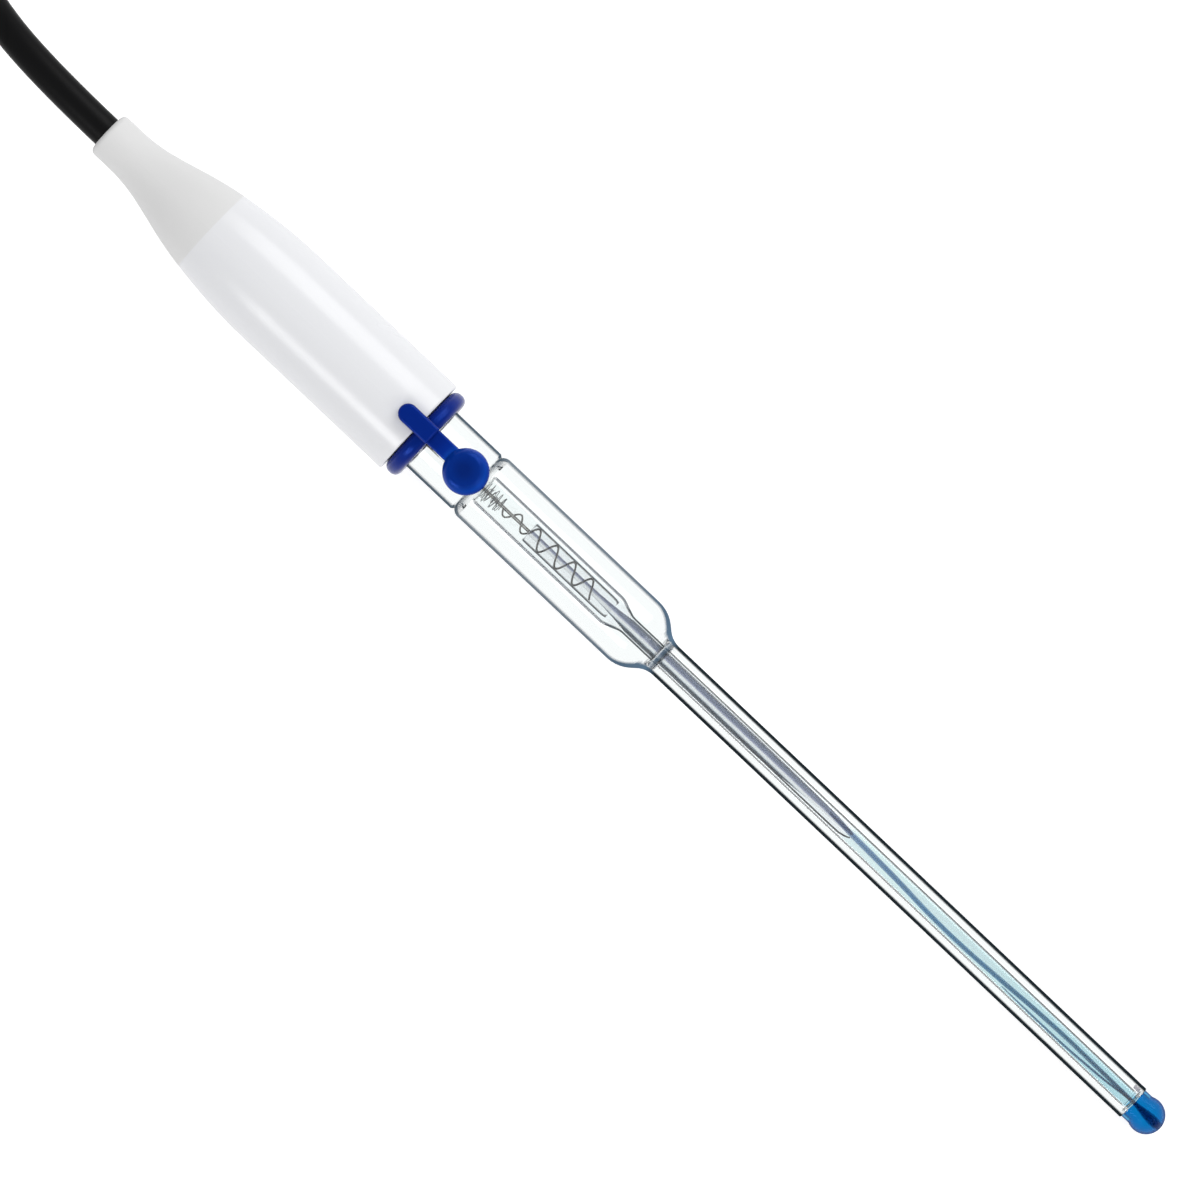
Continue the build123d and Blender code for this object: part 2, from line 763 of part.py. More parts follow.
# Ties: two flat bands, one round each side of the hank
tie_inside = outer_lane - fold_r + 2 * cable_r + 2 * fused_gap
tie_low = tie_thickness
tie_high = hank_height + tie_lift + fused_gap
with BuildPart() as cable_ties:
    for side in (-1, 1):
        with BuildSketch(
            Plane(
                origin=hank_middle + Vector(-tie_width / 2, side * tie_middle, (tie_low + tie_high) / 2),
                x_dir=(0, 1, 0),
                z_dir=(1, 0, 0),
            )
        ):
            RectangleRounded(
                tie_inside + 2 * tie_thickness,
                tie_high - tie_low + 2 * tie_thickness,
                tie_edge_r + tie_thickness,
            )
            RectangleRounded(tie_inside, tie_high - tie_low, tie_edge_r, mode=Mode.SUBTRACT)
        extrude(amount=tie_width)
cable_ties.part.label = "cable_ties"
export_step(cable_ties.part, "parts/cable_ties.step")

# Planes of the plug
plug_section = Plane(origin=plug_start, x_dir=(1, 0, 0), z_dir=(0, -1, 0))
plug_axis = Axis(plug_start, (1, 0, 0))


def plug_across(place):
    return Plane(origin=plug_start + Vector(place, 0, 0), x_dir=(0, 1, 0), z_dir=(1, 0, 0))


# Plug boot: a ribbed rubber sleeve over the crimp and the end of the cable
with BuildPart() as plug_boot:
    with BuildSketch(plug_section):
        with BuildLine():
            Polyline(
                (0, cable_r + seat_gap),
                (0, plug_boot_end_r),
                (plug_boot_length - ferrule_length, plug_boot_r),
                (plug_boot_length, plug_boot_r),
                (plug_boot_length, ferrule_r + seat_gap),
                (plug_boot_length - ferrule_length, ferrule_r + seat_gap),
                (plug_boot_length - ferrule_length, cable_r + seat_gap),
                close=True,
            )
        make_face()
        for rib in range(plug_boot_ribs):
            with Locations((plug_rib_width * (1 + 2 * rib), plug_boot_r)):
                Rectangle(
                    plug_rib_width,
                    2 * (plug_boot_r - plug_boot_end_r + plug_rib_depth / 2),
                    mode=Mode.SUBTRACT,
                )
    revolve(axis=plug_axis)
plug_boot.part.label = "plug_boot"
export_step(plug_boot.part, "parts/plug_boot.step")

# Ferrule: crimped over the jacket behind the plug's body
ferrule_start = plug_boot_length - ferrule_length + seat_gap
with BuildPart() as plug_ferrule:
    with BuildSketch(plug_across(ferrule_start)):
        Circle(ferrule_r)
        Circle(ferrule_r - ferrule_wall, mode=Mode.SUBTRACT)
    extrude(amount=ferrule_length - 2 * seat_gap)
plug_ferrule.part.label = "plug_ferrule"
export_step(plug_ferrule.part, "parts/plug_ferrule.step")

# Plug body: turned, with the flange that keeps the coupling ring and the slotted contact sleeve
insulator_start = flange_start
with BuildPart() as plug_body:
    with BuildSketch(plug_section):
        with BuildLine():
            Polyline(
                (plug_body_start, plug_insulator_r - contact_wall),
                (plug_body_start, plug_body_r),
                (coupling_start - seat_gap, plug_body_r),
                (coupling_start - seat_gap, sleeve_r),
                (flange_start, sleeve_r),
                (flange_start, flange_r - seat_gap),
                (flange_start + flange_width, flange_r - seat_gap),
                (flange_start + flange_width, sleeve_r),
                (plug_front, sleeve_r),
                (plug_front, sleeve_r - contact_wall),
                (insulator_start, sleeve_r - contact_wall),
                (insulator_start, plug_insulator_r - contact_wall),
                close=True,
            )
        make_face()
    revolve(axis=plug_axis)
    with BuildSketch(plug_across(plug_front)):
        for slot in range(finger_slots // 2):
            Rectangle(2 * (sleeve_r + overrun), finger_slot_width, rotation=slot * 360 / finger_slots)
    extrude(amount=-finger_slot_length, mode=Mode.SUBTRACT)
plug_body.part.label = "plug_body"
export_step(plug_body.part, "parts/plug_body.step")

# Insulator and centre pin
pin_start = plug_body_start
with BuildPart() as plug_insulator:
    with BuildSketch(plug_across(insulator_start + fused_gap)):
        Circle(plug_insulator_r)
        Circle(pin_r + fused_gap, mode=Mode.SUBTRACT)
    extrude(amount=plug_insulator_length)
plug_insulator.part.label = "plug_insulator"
export_step(plug_insulator.part, "parts/plug_insulator.step")

with BuildPart() as plug_pin:
    with BuildSketch(plug_section):
        with BuildLine():
            Polyline(
                (pin_start, 0),
                (pin_start, pin_r),
                (plug_front - pin_setback - pin_point, pin_r),
                (plug_front - pin_setback, pin_r / 3),
                (plug_front - pin_setback, 0),
                close=True,
            )
        make_face()
    revolve(axis=plug_axis)
plug_pin.part.label = "plug_pin"
export_step(plug_pin.part, "parts/plug_pin.step")

# Gasket in front of the flange, and the spring washer behind it
with BuildPart() as plug_gasket:
    with BuildSketch(plug_across(flange_start + flange_width + fused_gap)):
        Circle(coupling_bore_r - seat_gap)
        Circle(sleeve_r + fused_gap, mode=Mode.SUBTRACT)
    extrude(amount=gasket_width)
plug_gasket.part.label = "plug_gasket"
export_step(plug_gasket.part, "parts/plug_gasket.step")

with BuildPart() as plug_washer:
    with BuildSketch(plug_across(flange_start - fused_gap - washer_width)):
        Circle(flange_r - 2 * seat_gap)
        Circle(sleeve_r + seat_gap, mode=Mode.SUBTRACT)
    extrude(amount=washer_width)
plug_washer.part.label = "plug_washer"
export_step(plug_washer.part, "parts/plug_washer.step")

# Bayonet ramp: the cut for one stud, straight in from the front and then round a helix
ramp_foot = plug_start + Vector(coupling_end - ramp_entry, 0, 0)
with BuildPart() as bayonet_ramp:
    with BuildLine():
        ramp = Helix(
            ramp_rise / ramp_turn_share,
            ramp_rise,
            coupling_bore_r,
            center=ramp_foot,
            direction=(-1, 0, 0),
        )
    with BuildSketch(Plane(origin=ramp @ 0, z_dir=ramp % 0)):
        Circle(ramp_r)
    sweep(path=ramp, is_frenet=True)
    ramp_side = (ramp @ 0) - ramp_foot
    with BuildSketch(plug_across(coupling_end + overrun)):
        with PolarLocations(coupling_bore_r, 1, start_angle=degrees(atan2(ramp_side.Z, ramp_side.Y))):
            Rectangle(2 * ramp_r, 2 * ramp_r)
    extrude(amount=-ramp_entry - overrun)

# Coupling ring: turns on the body, with a grooved grip and two helical bayonet ramps inside
lip_end = coupling_start + coupling_lip
with BuildPart() as coupling_ring:
    with BuildSketch(plug_section) as coupling_profile:
        with BuildLine():
            Polyline(
                (coupling_start, sleeve_r + seat_gap),
                (coupling_start, coupling_r),
                (coupling_end, coupling_r),
                (coupling_end, coupling_bore_r),
                (flange_start + flange_width + seat_gap, coupling_bore_r),
                (flange_start + flange_width + seat_gap, flange_r),
                (lip_end, flange_r),
                (lip_end, sleeve_r + seat_gap),
                close=True,
            )
        make_face()
        fillet(coupling_profile.vertices().group_by(Axis.Y)[-1], coupling_edge_r)
    revolve(axis=plug_axis)
    with BuildSketch(plug_across(coupling_start + coupling_edge_r)):
        with PolarLocations(coupling_r, grip_grooves):
            Circle(grip_groove_r)
    extrude(amount=grip_length, mode=Mode.SUBTRACT)
    add(bayonet_ramp.part, mode=Mode.SUBTRACT)
    add(bayonet_ramp.part.rotate(plug_axis, 180), mode=Mode.SUBTRACT)
coupling_ring.part.label = "coupling_ring"
export_step(coupling_ring.part, "parts/coupling_ring.step")
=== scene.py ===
from math import cos, pi, radians, sin
from random import Random

import bmesh
import bpy
from mathutils import Matrix, Vector


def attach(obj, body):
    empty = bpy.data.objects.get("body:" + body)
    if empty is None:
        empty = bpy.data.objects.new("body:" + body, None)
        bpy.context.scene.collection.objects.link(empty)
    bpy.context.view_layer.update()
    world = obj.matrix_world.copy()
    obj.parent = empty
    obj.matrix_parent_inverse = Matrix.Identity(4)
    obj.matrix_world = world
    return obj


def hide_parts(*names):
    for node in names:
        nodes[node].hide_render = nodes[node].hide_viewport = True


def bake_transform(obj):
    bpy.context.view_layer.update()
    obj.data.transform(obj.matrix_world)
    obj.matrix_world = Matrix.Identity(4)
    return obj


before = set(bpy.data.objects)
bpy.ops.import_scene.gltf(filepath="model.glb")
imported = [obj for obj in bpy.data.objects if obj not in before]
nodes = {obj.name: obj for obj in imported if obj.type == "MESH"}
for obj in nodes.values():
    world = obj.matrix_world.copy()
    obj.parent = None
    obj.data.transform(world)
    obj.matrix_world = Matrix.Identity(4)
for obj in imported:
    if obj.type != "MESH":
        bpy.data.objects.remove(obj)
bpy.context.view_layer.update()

# The studio: a white table and a white surround, with a large soft box on the electrode's left, a
# weaker one on its right and a small one past the tip. The camera looks square on to the
# electrode, which lies with its tip 2 degrees down, and is turned as the photograph is.
tilt = radians(2.089183)
along = Vector((cos(tilt), 0, -sin(tilt)))
upright = Vector((sin(tilt), 0, cos(tilt)))
photo_turn = radians(43.404)
photo_width = 0.1869
photo_middle = Vector((-0.00701, -0.00016, 0.0073))
camera_data = bpy.data.cameras.new("camera")
camera_data.sensor_width = 36
camera_data.lens = 300
camera = bpy.data.objects.new("camera", camera_data)
camera_height = photo_width * camera_data.lens / camera_data.sensor_width
camera.location = photo_middle + camera_height * upright
camera.rotation_euler = (Matrix.Rotation(tilt, 3, "Y") @ Matrix.Rotation(photo_turn, 3, "Z")).to_euler()
bpy.context.scene.collection.objects.link(camera)
bpy.context.scene.camera = camera
bpy.context.scene.view_settings.view_transform = "Standard"


def linear(code):
    """A colour written as sRGB hex, as the linear colour that a shader takes."""
    channels = [int(code[i : i + 2], 16) / 255 for i in (1, 3, 5)]
    return (*[c / 12.92 if c <= 0.04045 else ((c + 0.055) / 1.055) ** 2.4 for c in channels], 1)


def node(tree, kind, settings=(), links=()):
    """Adds a shader node. Settings and links go by attribute or socket; stops are a colour ramp's."""
    made = tree.nodes.new(kind)
    for name, value in dict(settings).items():
        if name == "stops":
            while len(made.color_ramp.elements) < len(value):
                made.color_ramp.elements.new(1)
            for element, (place, colour) in zip(made.color_ramp.elements, value):
                element.position, element.color = place, linear(colour)
        elif isinstance(name, int) or name in made.inputs:
            made.inputs[name].default_value = value
        else:
            setattr(made, name, value)
    for name, source in dict(links).items():
        tree.links.new(getattr(source, "outputs", [source])[0], made.inputs[name])
    return made


def finish(name, shade):
    """A material of that name, whose nodes shade makes; it returns the last shader."""
    made = bpy.data.materials.new(name)
    made.use_nodes = True
    made.node_tree.nodes.clear()
    node(made.node_tree, "ShaderNodeOutputMaterial", {}, {"Surface": shade(made.node_tree)})
    return made


def soft_box(name, place, size, power):
    """A soft box that faces the electrode. Glass mirrors it but doesn't show it from behind, where
    its thick walls would break it into sparks."""
    data = bpy.data.lights.new(name, "AREA")
    data.shape = "RECTANGLE"
    data.size, data.size_y = size
    data.energy = power
    box = bpy.data.objects.new(name, data)
    box.location = place
    box.visible_transmission = False
    box.rotation_mode = "QUATERNION"
    box.rotation_quaternion = (photo_middle - Vector(place)).to_track_quat("-Z", "Y")
    bpy.context.scene.collection.objects.link(box)


soft_box("left_soft_box", (-0.02, 0.62, 0.42), (0.52, 0.5), 3.0)
soft_box("right_soft_box", (0.06, -0.64, 0.44), (0.4, 0.26), 2.1)
soft_box("tip_soft_box", (0.75, 0.05, 0.5), (0.35, 0.35), 0.6)


def shown_white(tree, from_light, veil):
    """What the light does, with a white veil for the camera's own rays and plain white in gloss."""
    rays = node(tree, "ShaderNodeLightPath")
    share = node(
        tree,
        "ShaderNodeMath",
        {"operation": "MULTIPLY", 1: veil},
        {0: rays.outputs["Is Camera Ray"]},
    )
    haze = node(tree, "ShaderNodeEmission", {"Color": linear("#FFFFFF")}, {"Strength": share})
    seen = node(tree, "ShaderNodeAddShader", {}, {0: from_light, 1: haze})
    gloss = node(
        tree,
        "ShaderNodeMath",
        {"operation": "MAXIMUM"},
        {0: rays.outputs["Is Glossy Ray"], 1: rays.outputs["Is Transmission Ray"]},
    )
    white = node(tree, "ShaderNodeEmission", {"Color": linear("#FFFFFF"), "Strength": 1.0})
    return node(tree, "ShaderNodeMixShader", {}, {0: gloss, 1: seen, 2: white})


world = bpy.data.worlds.new("white_surround")
bpy.context.scene.world = world
world.use_nodes = True
sky = world.node_tree
sky.nodes.clear()
fill = node(sky, "ShaderNodeBackground", {"Color": linear("#FFFFFF"), "Strength": 0.5})
node(sky, "ShaderNodeOutputWorld", {}, {"Surface": shown_white(sky, fill, 0.5)})


def white_acrylic(tree):
    # Matt white acrylic: it clips to white where the lamps reach it, and keeps a soft shadow.
    matt = node(tree, "ShaderNodeBsdfDiffuse", {"Color": linear("#F4F4F4")})
    return shown_white(tree, matt, 0.5)


def new_piece(name, shape, material, body="root"):
    """Links a finished bmesh as a piece that rides on that body; a body of None is for the stage."""
    mesh = bpy.data.meshes.new(name)
    shape.to_mesh(mesh)
    shape.free()
    mesh.materials.append(material)
    piece = bpy.data.objects.new(name, mesh)
    bpy.context.scene.collection.objects.link(piece)
    if body:
        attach(piece, body)
    return piece


table_shape = bmesh.new()
bmesh.ops.create_grid(table_shape, x_segments=1, y_segments=1, size=3)
table = new_piece("table", table_shape, finish("matt_white_acrylic", white_acrylic), None)
# Light crosses a dozen walls of glass and gel on its way through the electrode.
for bounces in ("max_bounces", "transmission_bounces", "glossy_bounces"):
    setattr(bpy.context.scene.cycles, bounces, 32)

# The cord: 1 m of 5.2 mm coaxial cable with a black PVC jacket. It leaves the boot straight,
# falls to the table and is put away as a hank of three and a half turns, whose end crosses over
# the far fold to the plug that lies in the hank's hollow.
cord_radius = 0.0026
exit_point = (-0.112723, 0.0, 0.0111187)
near_fold = -0.172323
far_fold = -0.242323
hank_side = -0.0115
outer_lane, inner_lane = 0.0219, 0.0166
low, high = cord_radius, 3 * cord_radius + 0.0001
tie_place = (near_fold + far_fold) / 2
tie_lift = 0.00092
fold_steps = 6
step_angle = pi / fold_steps
cord_points = [
    exit_point,
    (-0.127723, 0.0, 0.011669),
    (-0.142723, 0.0022, 0.0062),
    (-0.156723, 0.0074, 0.0026),
    (-0.170723, 0.0104, 0.00265),
    (-0.180323, 0.01035, 0.0026),
]


def run_points(side, going, start_lane, end_lane, start_height, end_height):
    """The points of one straight run between the folds: it rides over the tie at its middle."""
    reach = (near_fold - far_fold) / 2
    made = []
    for station in (0.77, 0.23, -0.23, -0.77):
        share = (1 - station) / 2
        lane = start_lane + (end_lane - start_lane) * share
        height = start_height + (end_height - start_height) * share
        lift = tie_lift if abs(station) < 0.5 else 0
        made.append((tie_place - going * station * reach, hank_side + side * lane, height + lift))
    return made


def fold_points(centre, start_angle, start_lane, end_lane, start_height, end_height, steps=6):
    """The points of one fold, set out so that the curve inside them has the lane's radius. The
    cable climbs over the fold's first half and changes lanes over its second."""
    made = []
    for step in range(steps):
        share = (step + 0.5) / fold_steps
        angle = start_angle + share * pi
        inward = min(max((share - 0.42) / 0.42, 0), 1)
        radius = (start_lane + (end_lane - start_lane) * inward) / cos(step_angle / 2)
        height = start_height + (end_height - start_height) * min(share / 0.5, 1)
        made.append((centre + radius * cos(angle), hank_side + radius * sin(angle), height))
    return made


cord_points += run_points(1, -1, outer_lane, outer_lane, low, low)[1:]
turns = [
    (outer_lane, low, inner_lane, low, outer_lane, outer_lane),
    (inner_lane, low, inner_lane, high, inner_lane, inner_lane),
    (inner_lane, high, outer_lane, high, inner_lane, outer_lane),
]
for lane, height, next_lane, next_height, run_start, run_end in turns:
    cord_points += fold_points(far_fold, pi / 2, lane, lane, height, height)
    cord_points += run_points(-1, 1, run_start, run_end, height, height)
    cord_points += fold_points(near_fold, -pi / 2, run_end, next_lane, height, next_height)
    cord_points += run_points(1, -1, next_lane, next_lane, next_height, next_height)
cord_points += fold_points(far_fold, pi / 2, outer_lane, outer_lane, high, high, 3)
cord_points += [
    (-0.2633, -0.0185, 0.0102),
    (-0.2575, -0.0255, 0.0132),
    (-0.2490, -0.0282, 0.0140),
    (-0.2405, -0.0262, 0.0133),
    (-0.2310, -0.0215, 0.0098),
    (-0.2210, -0.0158, 0.0074),
    (-0.2110, -0.0128, 0.00725),
    (-0.2030, -0.0127, 0.00725),
    (-0.196323, -0.0127, 0.00725),
]
cord_curve = bpy.data.curves.new("signal_cable", "CURVE")
cord_curve.dimensions = "3D"
cord_curve.bevel_depth = cord_radius
cord_curve.bevel_resolution = 6
cord_curve.resolution_u = 10
cord_curve.use_fill_caps = True
spline = cord_curve.splines.new("NURBS")
spline.points.add(len(cord_points) - 1)
for point, place in zip(spline.points, cord_points):
    point.co = (*place, 1)
spline.order_u = 3
spline.use_endpoint_u = True
signal_cable = bpy.data.objects.new("signal_cable", cord_curve)
bpy.context.scene.collection.objects.link(signal_cable)


def pvc_jacket(tree):
    # Extruded PVC: near black, satin, faintly marked every 0.7 mm by the die it was drawn through.
    place = node(tree, "ShaderNodeTexCoord")
    drag = node(tree, "ShaderNodeTexNoise", {"Scale": 1400.0}, {"Vector": place.outputs["Object"]})
    gloss = node(tree, "ShaderNodeMapRange", {3: 0.34, 4: 0.46}, {0: drag})
    grain = node(tree, "ShaderNodeBump", {"Strength": 0.12, "Distance": 0.00005}, {"Height": drag})
    return node(
        tree,
        "ShaderNodeBsdfPrincipled",
        {"Base Color": linear("#060607"), "Specular IOR Level": 0.08},
        {"Roughness": gloss, "Normal": grain},
    )


black_pvc = finish("extruded_black_pvc", pvc_jacket)
cord_curve.materials.append(black_pvc)
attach(signal_cable, "root")
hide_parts("cable", "cable_hank", "cable_tail")
plug_nodes = ["plug_boot", "plug_ferrule", "plug_body", "plug_insulator", "plug_pin", "plug_gasket"]
plug_nodes += ["plug_washer", "coupling_ring"]


# Cap and boot: the cap is moulded in glossy white polyester, the boot in soft matt elastomer that
# snaps into it.
def glossy_polyester(tree):
    # Hard moulded plastic: soft bands of the lamps along it, with 6 mm ripples left by shrinkage.
    place = node(tree, "ShaderNodeTexCoord")
    ripple = node(
        tree, "ShaderNodeTexNoise", {"Scale": 160.0, "Detail": 1.0}, {"Vector": place.outputs["Object"]}
    )
    gloss = node(tree, "ShaderNodeMapRange", {3: 0.2, 4: 0.3}, {0: ripple})
    sink = node(tree, "ShaderNodeBump", {"Strength": 0.06, "Distance": 0.0002}, {"Height": ripple})
    return node(
        tree,
        "ShaderNodeBsdfPrincipled",
        {"Base Color": linear("#E7E8EB")},
        {"Roughness": gloss, "Normal": sink},
    )


def matt_elastomer(tree):
    # Soft moulded elastomer: an even spark-eroded matt of 0.2 mm grain, a shade warmer than the cap.
    place = node(tree, "ShaderNodeTexCoord")
    texture = node(tree, "ShaderNodeTexNoise", {"Scale": 5000.0}, {"Vector": place.outputs["Object"]})
    grain = node(tree, "ShaderNodeBump", {"Strength": 0.25, "Distance": 0.00004}, {"Height": texture})
    gloss = node(tree, "ShaderNodeMapRange", {3: 0.5, 4: 0.64}, {0: texture})
    return node(
        tree,
        "ShaderNodeBsdfPrincipled",
        {"Base Color": linear("#DEDEDE")},
        {"Roughness": gloss, "Normal": grain},
    )


def dress(material, *names):
    """Gives CAD nodes their finish."""
    for name in names:
        nodes[name].data.materials.clear()
        nodes[name].data.materials.append(material)


dress(finish("glossy_white_polyester", glossy_polyester), "cap_shell")
dress(finish("matt_white_elastomer", matt_elastomer), "cable_boot")


# Inside the cap: cast resin round the glass, the stripped cable with its soldered joints under
# shrink sleeves, and the crimp ring on the jacket.
def cast_resin(tree):
    # Cast epoxy: cream, glossy, with faint clouds 3 mm across.
    place = node(tree, "ShaderNodeTexCoord")
    cloud = node(
        tree, "ShaderNodeTexNoise", {"Scale": 300.0, "Detail": 3.0}, {"Vector": place.outputs["Object"]}
    )
    stops = [(0.35, "#D9D3C2"), (0.65, "#EAE6DA")]
    tint = node(tree, "ShaderNodeValToRGB", {"stops": stops}, {"Fac": cloud})
    return node(tree, "ShaderNodeBsdfPrincipled", {"Roughness": 0.18}, {"Base Color": tint})


def tinned_copper(tree):
    # Tinned copper: dull silver, softly mottled every 0.7 mm where the tin ran.
    place = node(tree, "ShaderNodeTexCoord")
    mottle = node(
        tree, "ShaderNodeTexNoise", {"Scale": 1500.0, "Detail": 3.0}, {"Vector": place.outputs["Object"]}
    )
    gloss = node(tree, "ShaderNodeMapRange", {3: 0.25, 4: 0.45}, {0: mottle})
    return node(
        tree,
        "ShaderNodeBsdfPrincipled",
        {"Base Color": linear("#C9C7C2"), "Metallic": 1.0},
        {"Roughness": gloss},
    )


def milky_polyethylene(tree):
    # Polyethylene insulation: milky and lit from within, its waxy gloss uneven over about 1 mm.
    place = node(tree, "ShaderNodeTexCoord")
    wax = node(tree, "ShaderNodeTexNoise", {"Scale": 900.0}, {"Vector": place.outputs["Object"]})
    gloss = node(tree, "ShaderNodeMapRange", {3: 0.3, 4: 0.42}, {0: wax})
    return node(
        tree,
        "ShaderNodeBsdfPrincipled",
        {"Base Color": linear("#E9E8E2"), "Subsurface Weight": 0.3, "Subsurface Scale": 0.001},
        {"Roughness": gloss},
    )


def shrink_sleeve(tree):
    # Heat-shrunk polyolefin: black, with 1 mm wrinkles round what it grips.
    place = node(tree, "ShaderNodeTexCoord")
    wrinkle = node(tree, "ShaderNodeTexNoise", {"Scale": 1100.0}, {"Vector": place.outputs["Object"]})
    grain = node(tree, "ShaderNodeBump", {"Strength": 0.4, "Distance": 0.0001}, {"Height": wrinkle})
    return node(
        tree,
        "ShaderNodeBsdfPrincipled",
        {"Base Color": linear("#17181A"), "Roughness": 0.42, "Specular IOR Level": 0.3},
        {"Normal": grain},
    )


dress(finish("cast_cream_epoxy", cast_resin), "cap_potting", "glass_top_bung")
dress(finish("tinned_copper", tinned_copper), "coax_core", "screen_tail", "cable_crimp")
dress(finish("milky_polyethylene", milky_polyethylene), "coax_insulation")
dress(finish("black_shrink_sleeve", shrink_sleeve), "core_sleeve", "screen_sleeve")
dress(black_pvc, "jacket_end")


# Outer glass: borosilicate tube, flame-worked. Chamber, body, shoulder and stem are blown and
# fused as one. Painted shade in slate lies over its rim, and in bands where its wall is thickened
# inwards, at the waist and the throat. Its places are in metres along the electrode, from the
# boot's cable end.
axis_start = Vector(exit_point)
waist_seam, waist_seam_half = 0.0797, 0.0006
throat_seam, throat_seam_half = 0.11855, 0.00045
shoulder_from, shoulder_to = 0.1132, 0.1184
hollow_narrows_from, hollow_narrows_to = 0.11466, 0.11827
inside_body, inside_stem = 0.0055, 0.0027


def along_glass(tree):
    """Where a point of the glass is: how far along the electrode, and how far from its axis."""
    place = node(tree, "ShaderNodeTexCoord")
    offset = node(
        tree, "ShaderNodeVectorMath", {"operation": "SUBTRACT", 1: axis_start}, {0: place.outputs["Object"]}
    )
    reach = node(tree, "ShaderNodeVectorMath", {"operation": "DOT_PRODUCT", 1: along}, {0: offset})
    cross = node(tree, "ShaderNodeVectorMath", {"operation": "CROSS_PRODUCT", 1: along}, {0: offset})
    radius = node(tree, "ShaderNodeVectorMath", {"operation": "LENGTH"}, {0: cross})
    return reach.outputs["Value"], radius.outputs["Value"]


def painted_rim_shade(tree, slim, wide_rim, slim_rim):
    """How much painted shade lies on the glass: none face on, all of it at its rim, and sooner where it is
    slim.
    """
    facing = node(tree, "ShaderNodeLayerWeight", {"Blend": 0.5})
    starts = node(tree, "ShaderNodeMapRange", {3: wide_rim[0], 4: slim_rim[0]}, {0: slim})
    full = node(tree, "ShaderNodeMapRange", {3: wide_rim[1], 4: slim_rim[1]}, {0: slim})
    return node(tree, "ShaderNodeMapRange", {}, {0: facing.outputs["Facing"], 1: starts, 2: full})


def seam(tree, reach, middle, half_width):
    """One where the glass is folded or fused thick, fading to nothing on both sides of it: where a band of
    painted shade goes.
    """
    beside = node(tree, "ShaderNodeMath", {"operation": "SUBTRACT", 1: middle}, {0: reach})
    off = node(tree, "ShaderNodeMath", {"operation": "ABSOLUTE"}, {0: beside})
    return node(tree, "ShaderNodeMapRange", {1: half_width, 2: half_width * 0.6, 3: 0, 4: 1}, {0: off})


def clear_or_painted_shade(tree, share, colour, mirrored):
    """Clear glass with that share of painted shade, a matt slate colour, over it. Mirrored is the colour of
    what it reflects.
    """
    clear = node(
        tree,
        "ShaderNodeBsdfPrincipled",
        {
            "Base Color": linear("#FCFEFE"),
            "Transmission Weight": 1.0,
            "IOR": 1.47,
            "Roughness": 0.0,
            "Specular Tint": linear(mirrored),
        },
    )
    # Painted shade: a matt slate colour laid over the glass where the share says.
    painted_slate_shade = node(tree, "ShaderNodeBsdfDiffuse", {}, {"Color": colour})
    return node(tree, "ShaderNodeMixShader", {}, {0: share, 1: clear, 2: painted_slate_shade})


def blown_borosilicate(tree):
    # Flame-polished clear glass: colourless face on, with painted shade in slate over its rim, where the
    # wall is seen along itself, and over the waist and throat seams.
    reach, radius = along_glass(tree)
    slim = node(tree, "ShaderNodeMapRange", {1: shoulder_from, 2: shoulder_to}, {0: reach})
    rim = painted_rim_shade(tree, slim, (0.52, 0.67), (0.36, 0.48))
    bore = node(
        tree,
        "ShaderNodeMapRange",
        {1: hollow_narrows_from, 2: hollow_narrows_to, 3: inside_body, 4: inside_stem},
        {0: reach},
    )
    outside = node(tree, "ShaderNodeMath", {"operation": "GREATER_THAN"}, {0: radius, 1: bore})
    # Painted shade in bands at the waist and throat seams, and over the rim outside the bore.
    waist = seam(tree, reach, waist_seam, waist_seam_half)
    throat = seam(tree, reach, throat_seam, throat_seam_half)
    facing = node(tree, "ShaderNodeLayerWeight", {"Blend": 0.5})
    waist_shade_facing = node(
        tree, "ShaderNodeMapRange", {1: 0.12, 2: 0.5, 3: 0.0, 4: 0.6}, {0: facing.outputs["Facing"]}
    )
    waist_seam_shade = node(tree, "ShaderNodeMath", {"operation": "MULTIPLY"}, {0: waist, 1: waist_shade_facing})
    throat_seam_shade = node(tree, "ShaderNodeMath", {"operation": "MULTIPLY", 1: 0.5}, {0: throat})
    outer_rim_shade = node(tree, "ShaderNodeMath", {"operation": "MULTIPLY"}, {0: rim, 1: outside})
    seam_shade = node(tree, "ShaderNodeMath", {"operation": "MAXIMUM"}, {0: waist_seam_shade, 1: throat_seam_shade})
    share = node(tree, "ShaderNodeMath", {"operation": "MAXIMUM"}, {0: outer_rim_shade, 1: seam_shade})
    place = node(tree, "ShaderNodeMapRange", {1: 0.06, 2: 0.13}, {0: reach})
    # Colours of the painted shade: slate along the chamber, lighter over the body, darkest along the stem.
    stops = [(0.0, "#53626E"), (0.27, "#53626E"), (0.3, "#78838C"), (0.68, "#6F7B86"), (0.78, "#53697D")]
    stops += [(0.83, "#607A92"), (0.855, "#232D33"), (1.0, "#1D262B")]
    colour = node(tree, "ShaderNodeValToRGB", {"stops": stops}, {"Fac": place})
    return clear_or_painted_shade(tree, share, colour, "#FFFFFF")


dress(finish("blown_borosilicate", blown_borosilicate), "outer_glass_body")


# Inner glass: a thin borosilicate tube, a wide cell above and a narrow tube below, fused to the
# stem at its end. It is turned in fine steps, as the painted shade on its rim would show facets.
# A short sleeve in the cell keeps the wire coil off its wall. Wetted glass mirrors less than dry.
wetted_gloss = "#6E7376"
taper_from, taper_to = 0.1085, 0.1114
inside_cell, inside_tube = 0.0024, 0.00125
cell_top_seal, ring_seal = 0.0808, 0.219


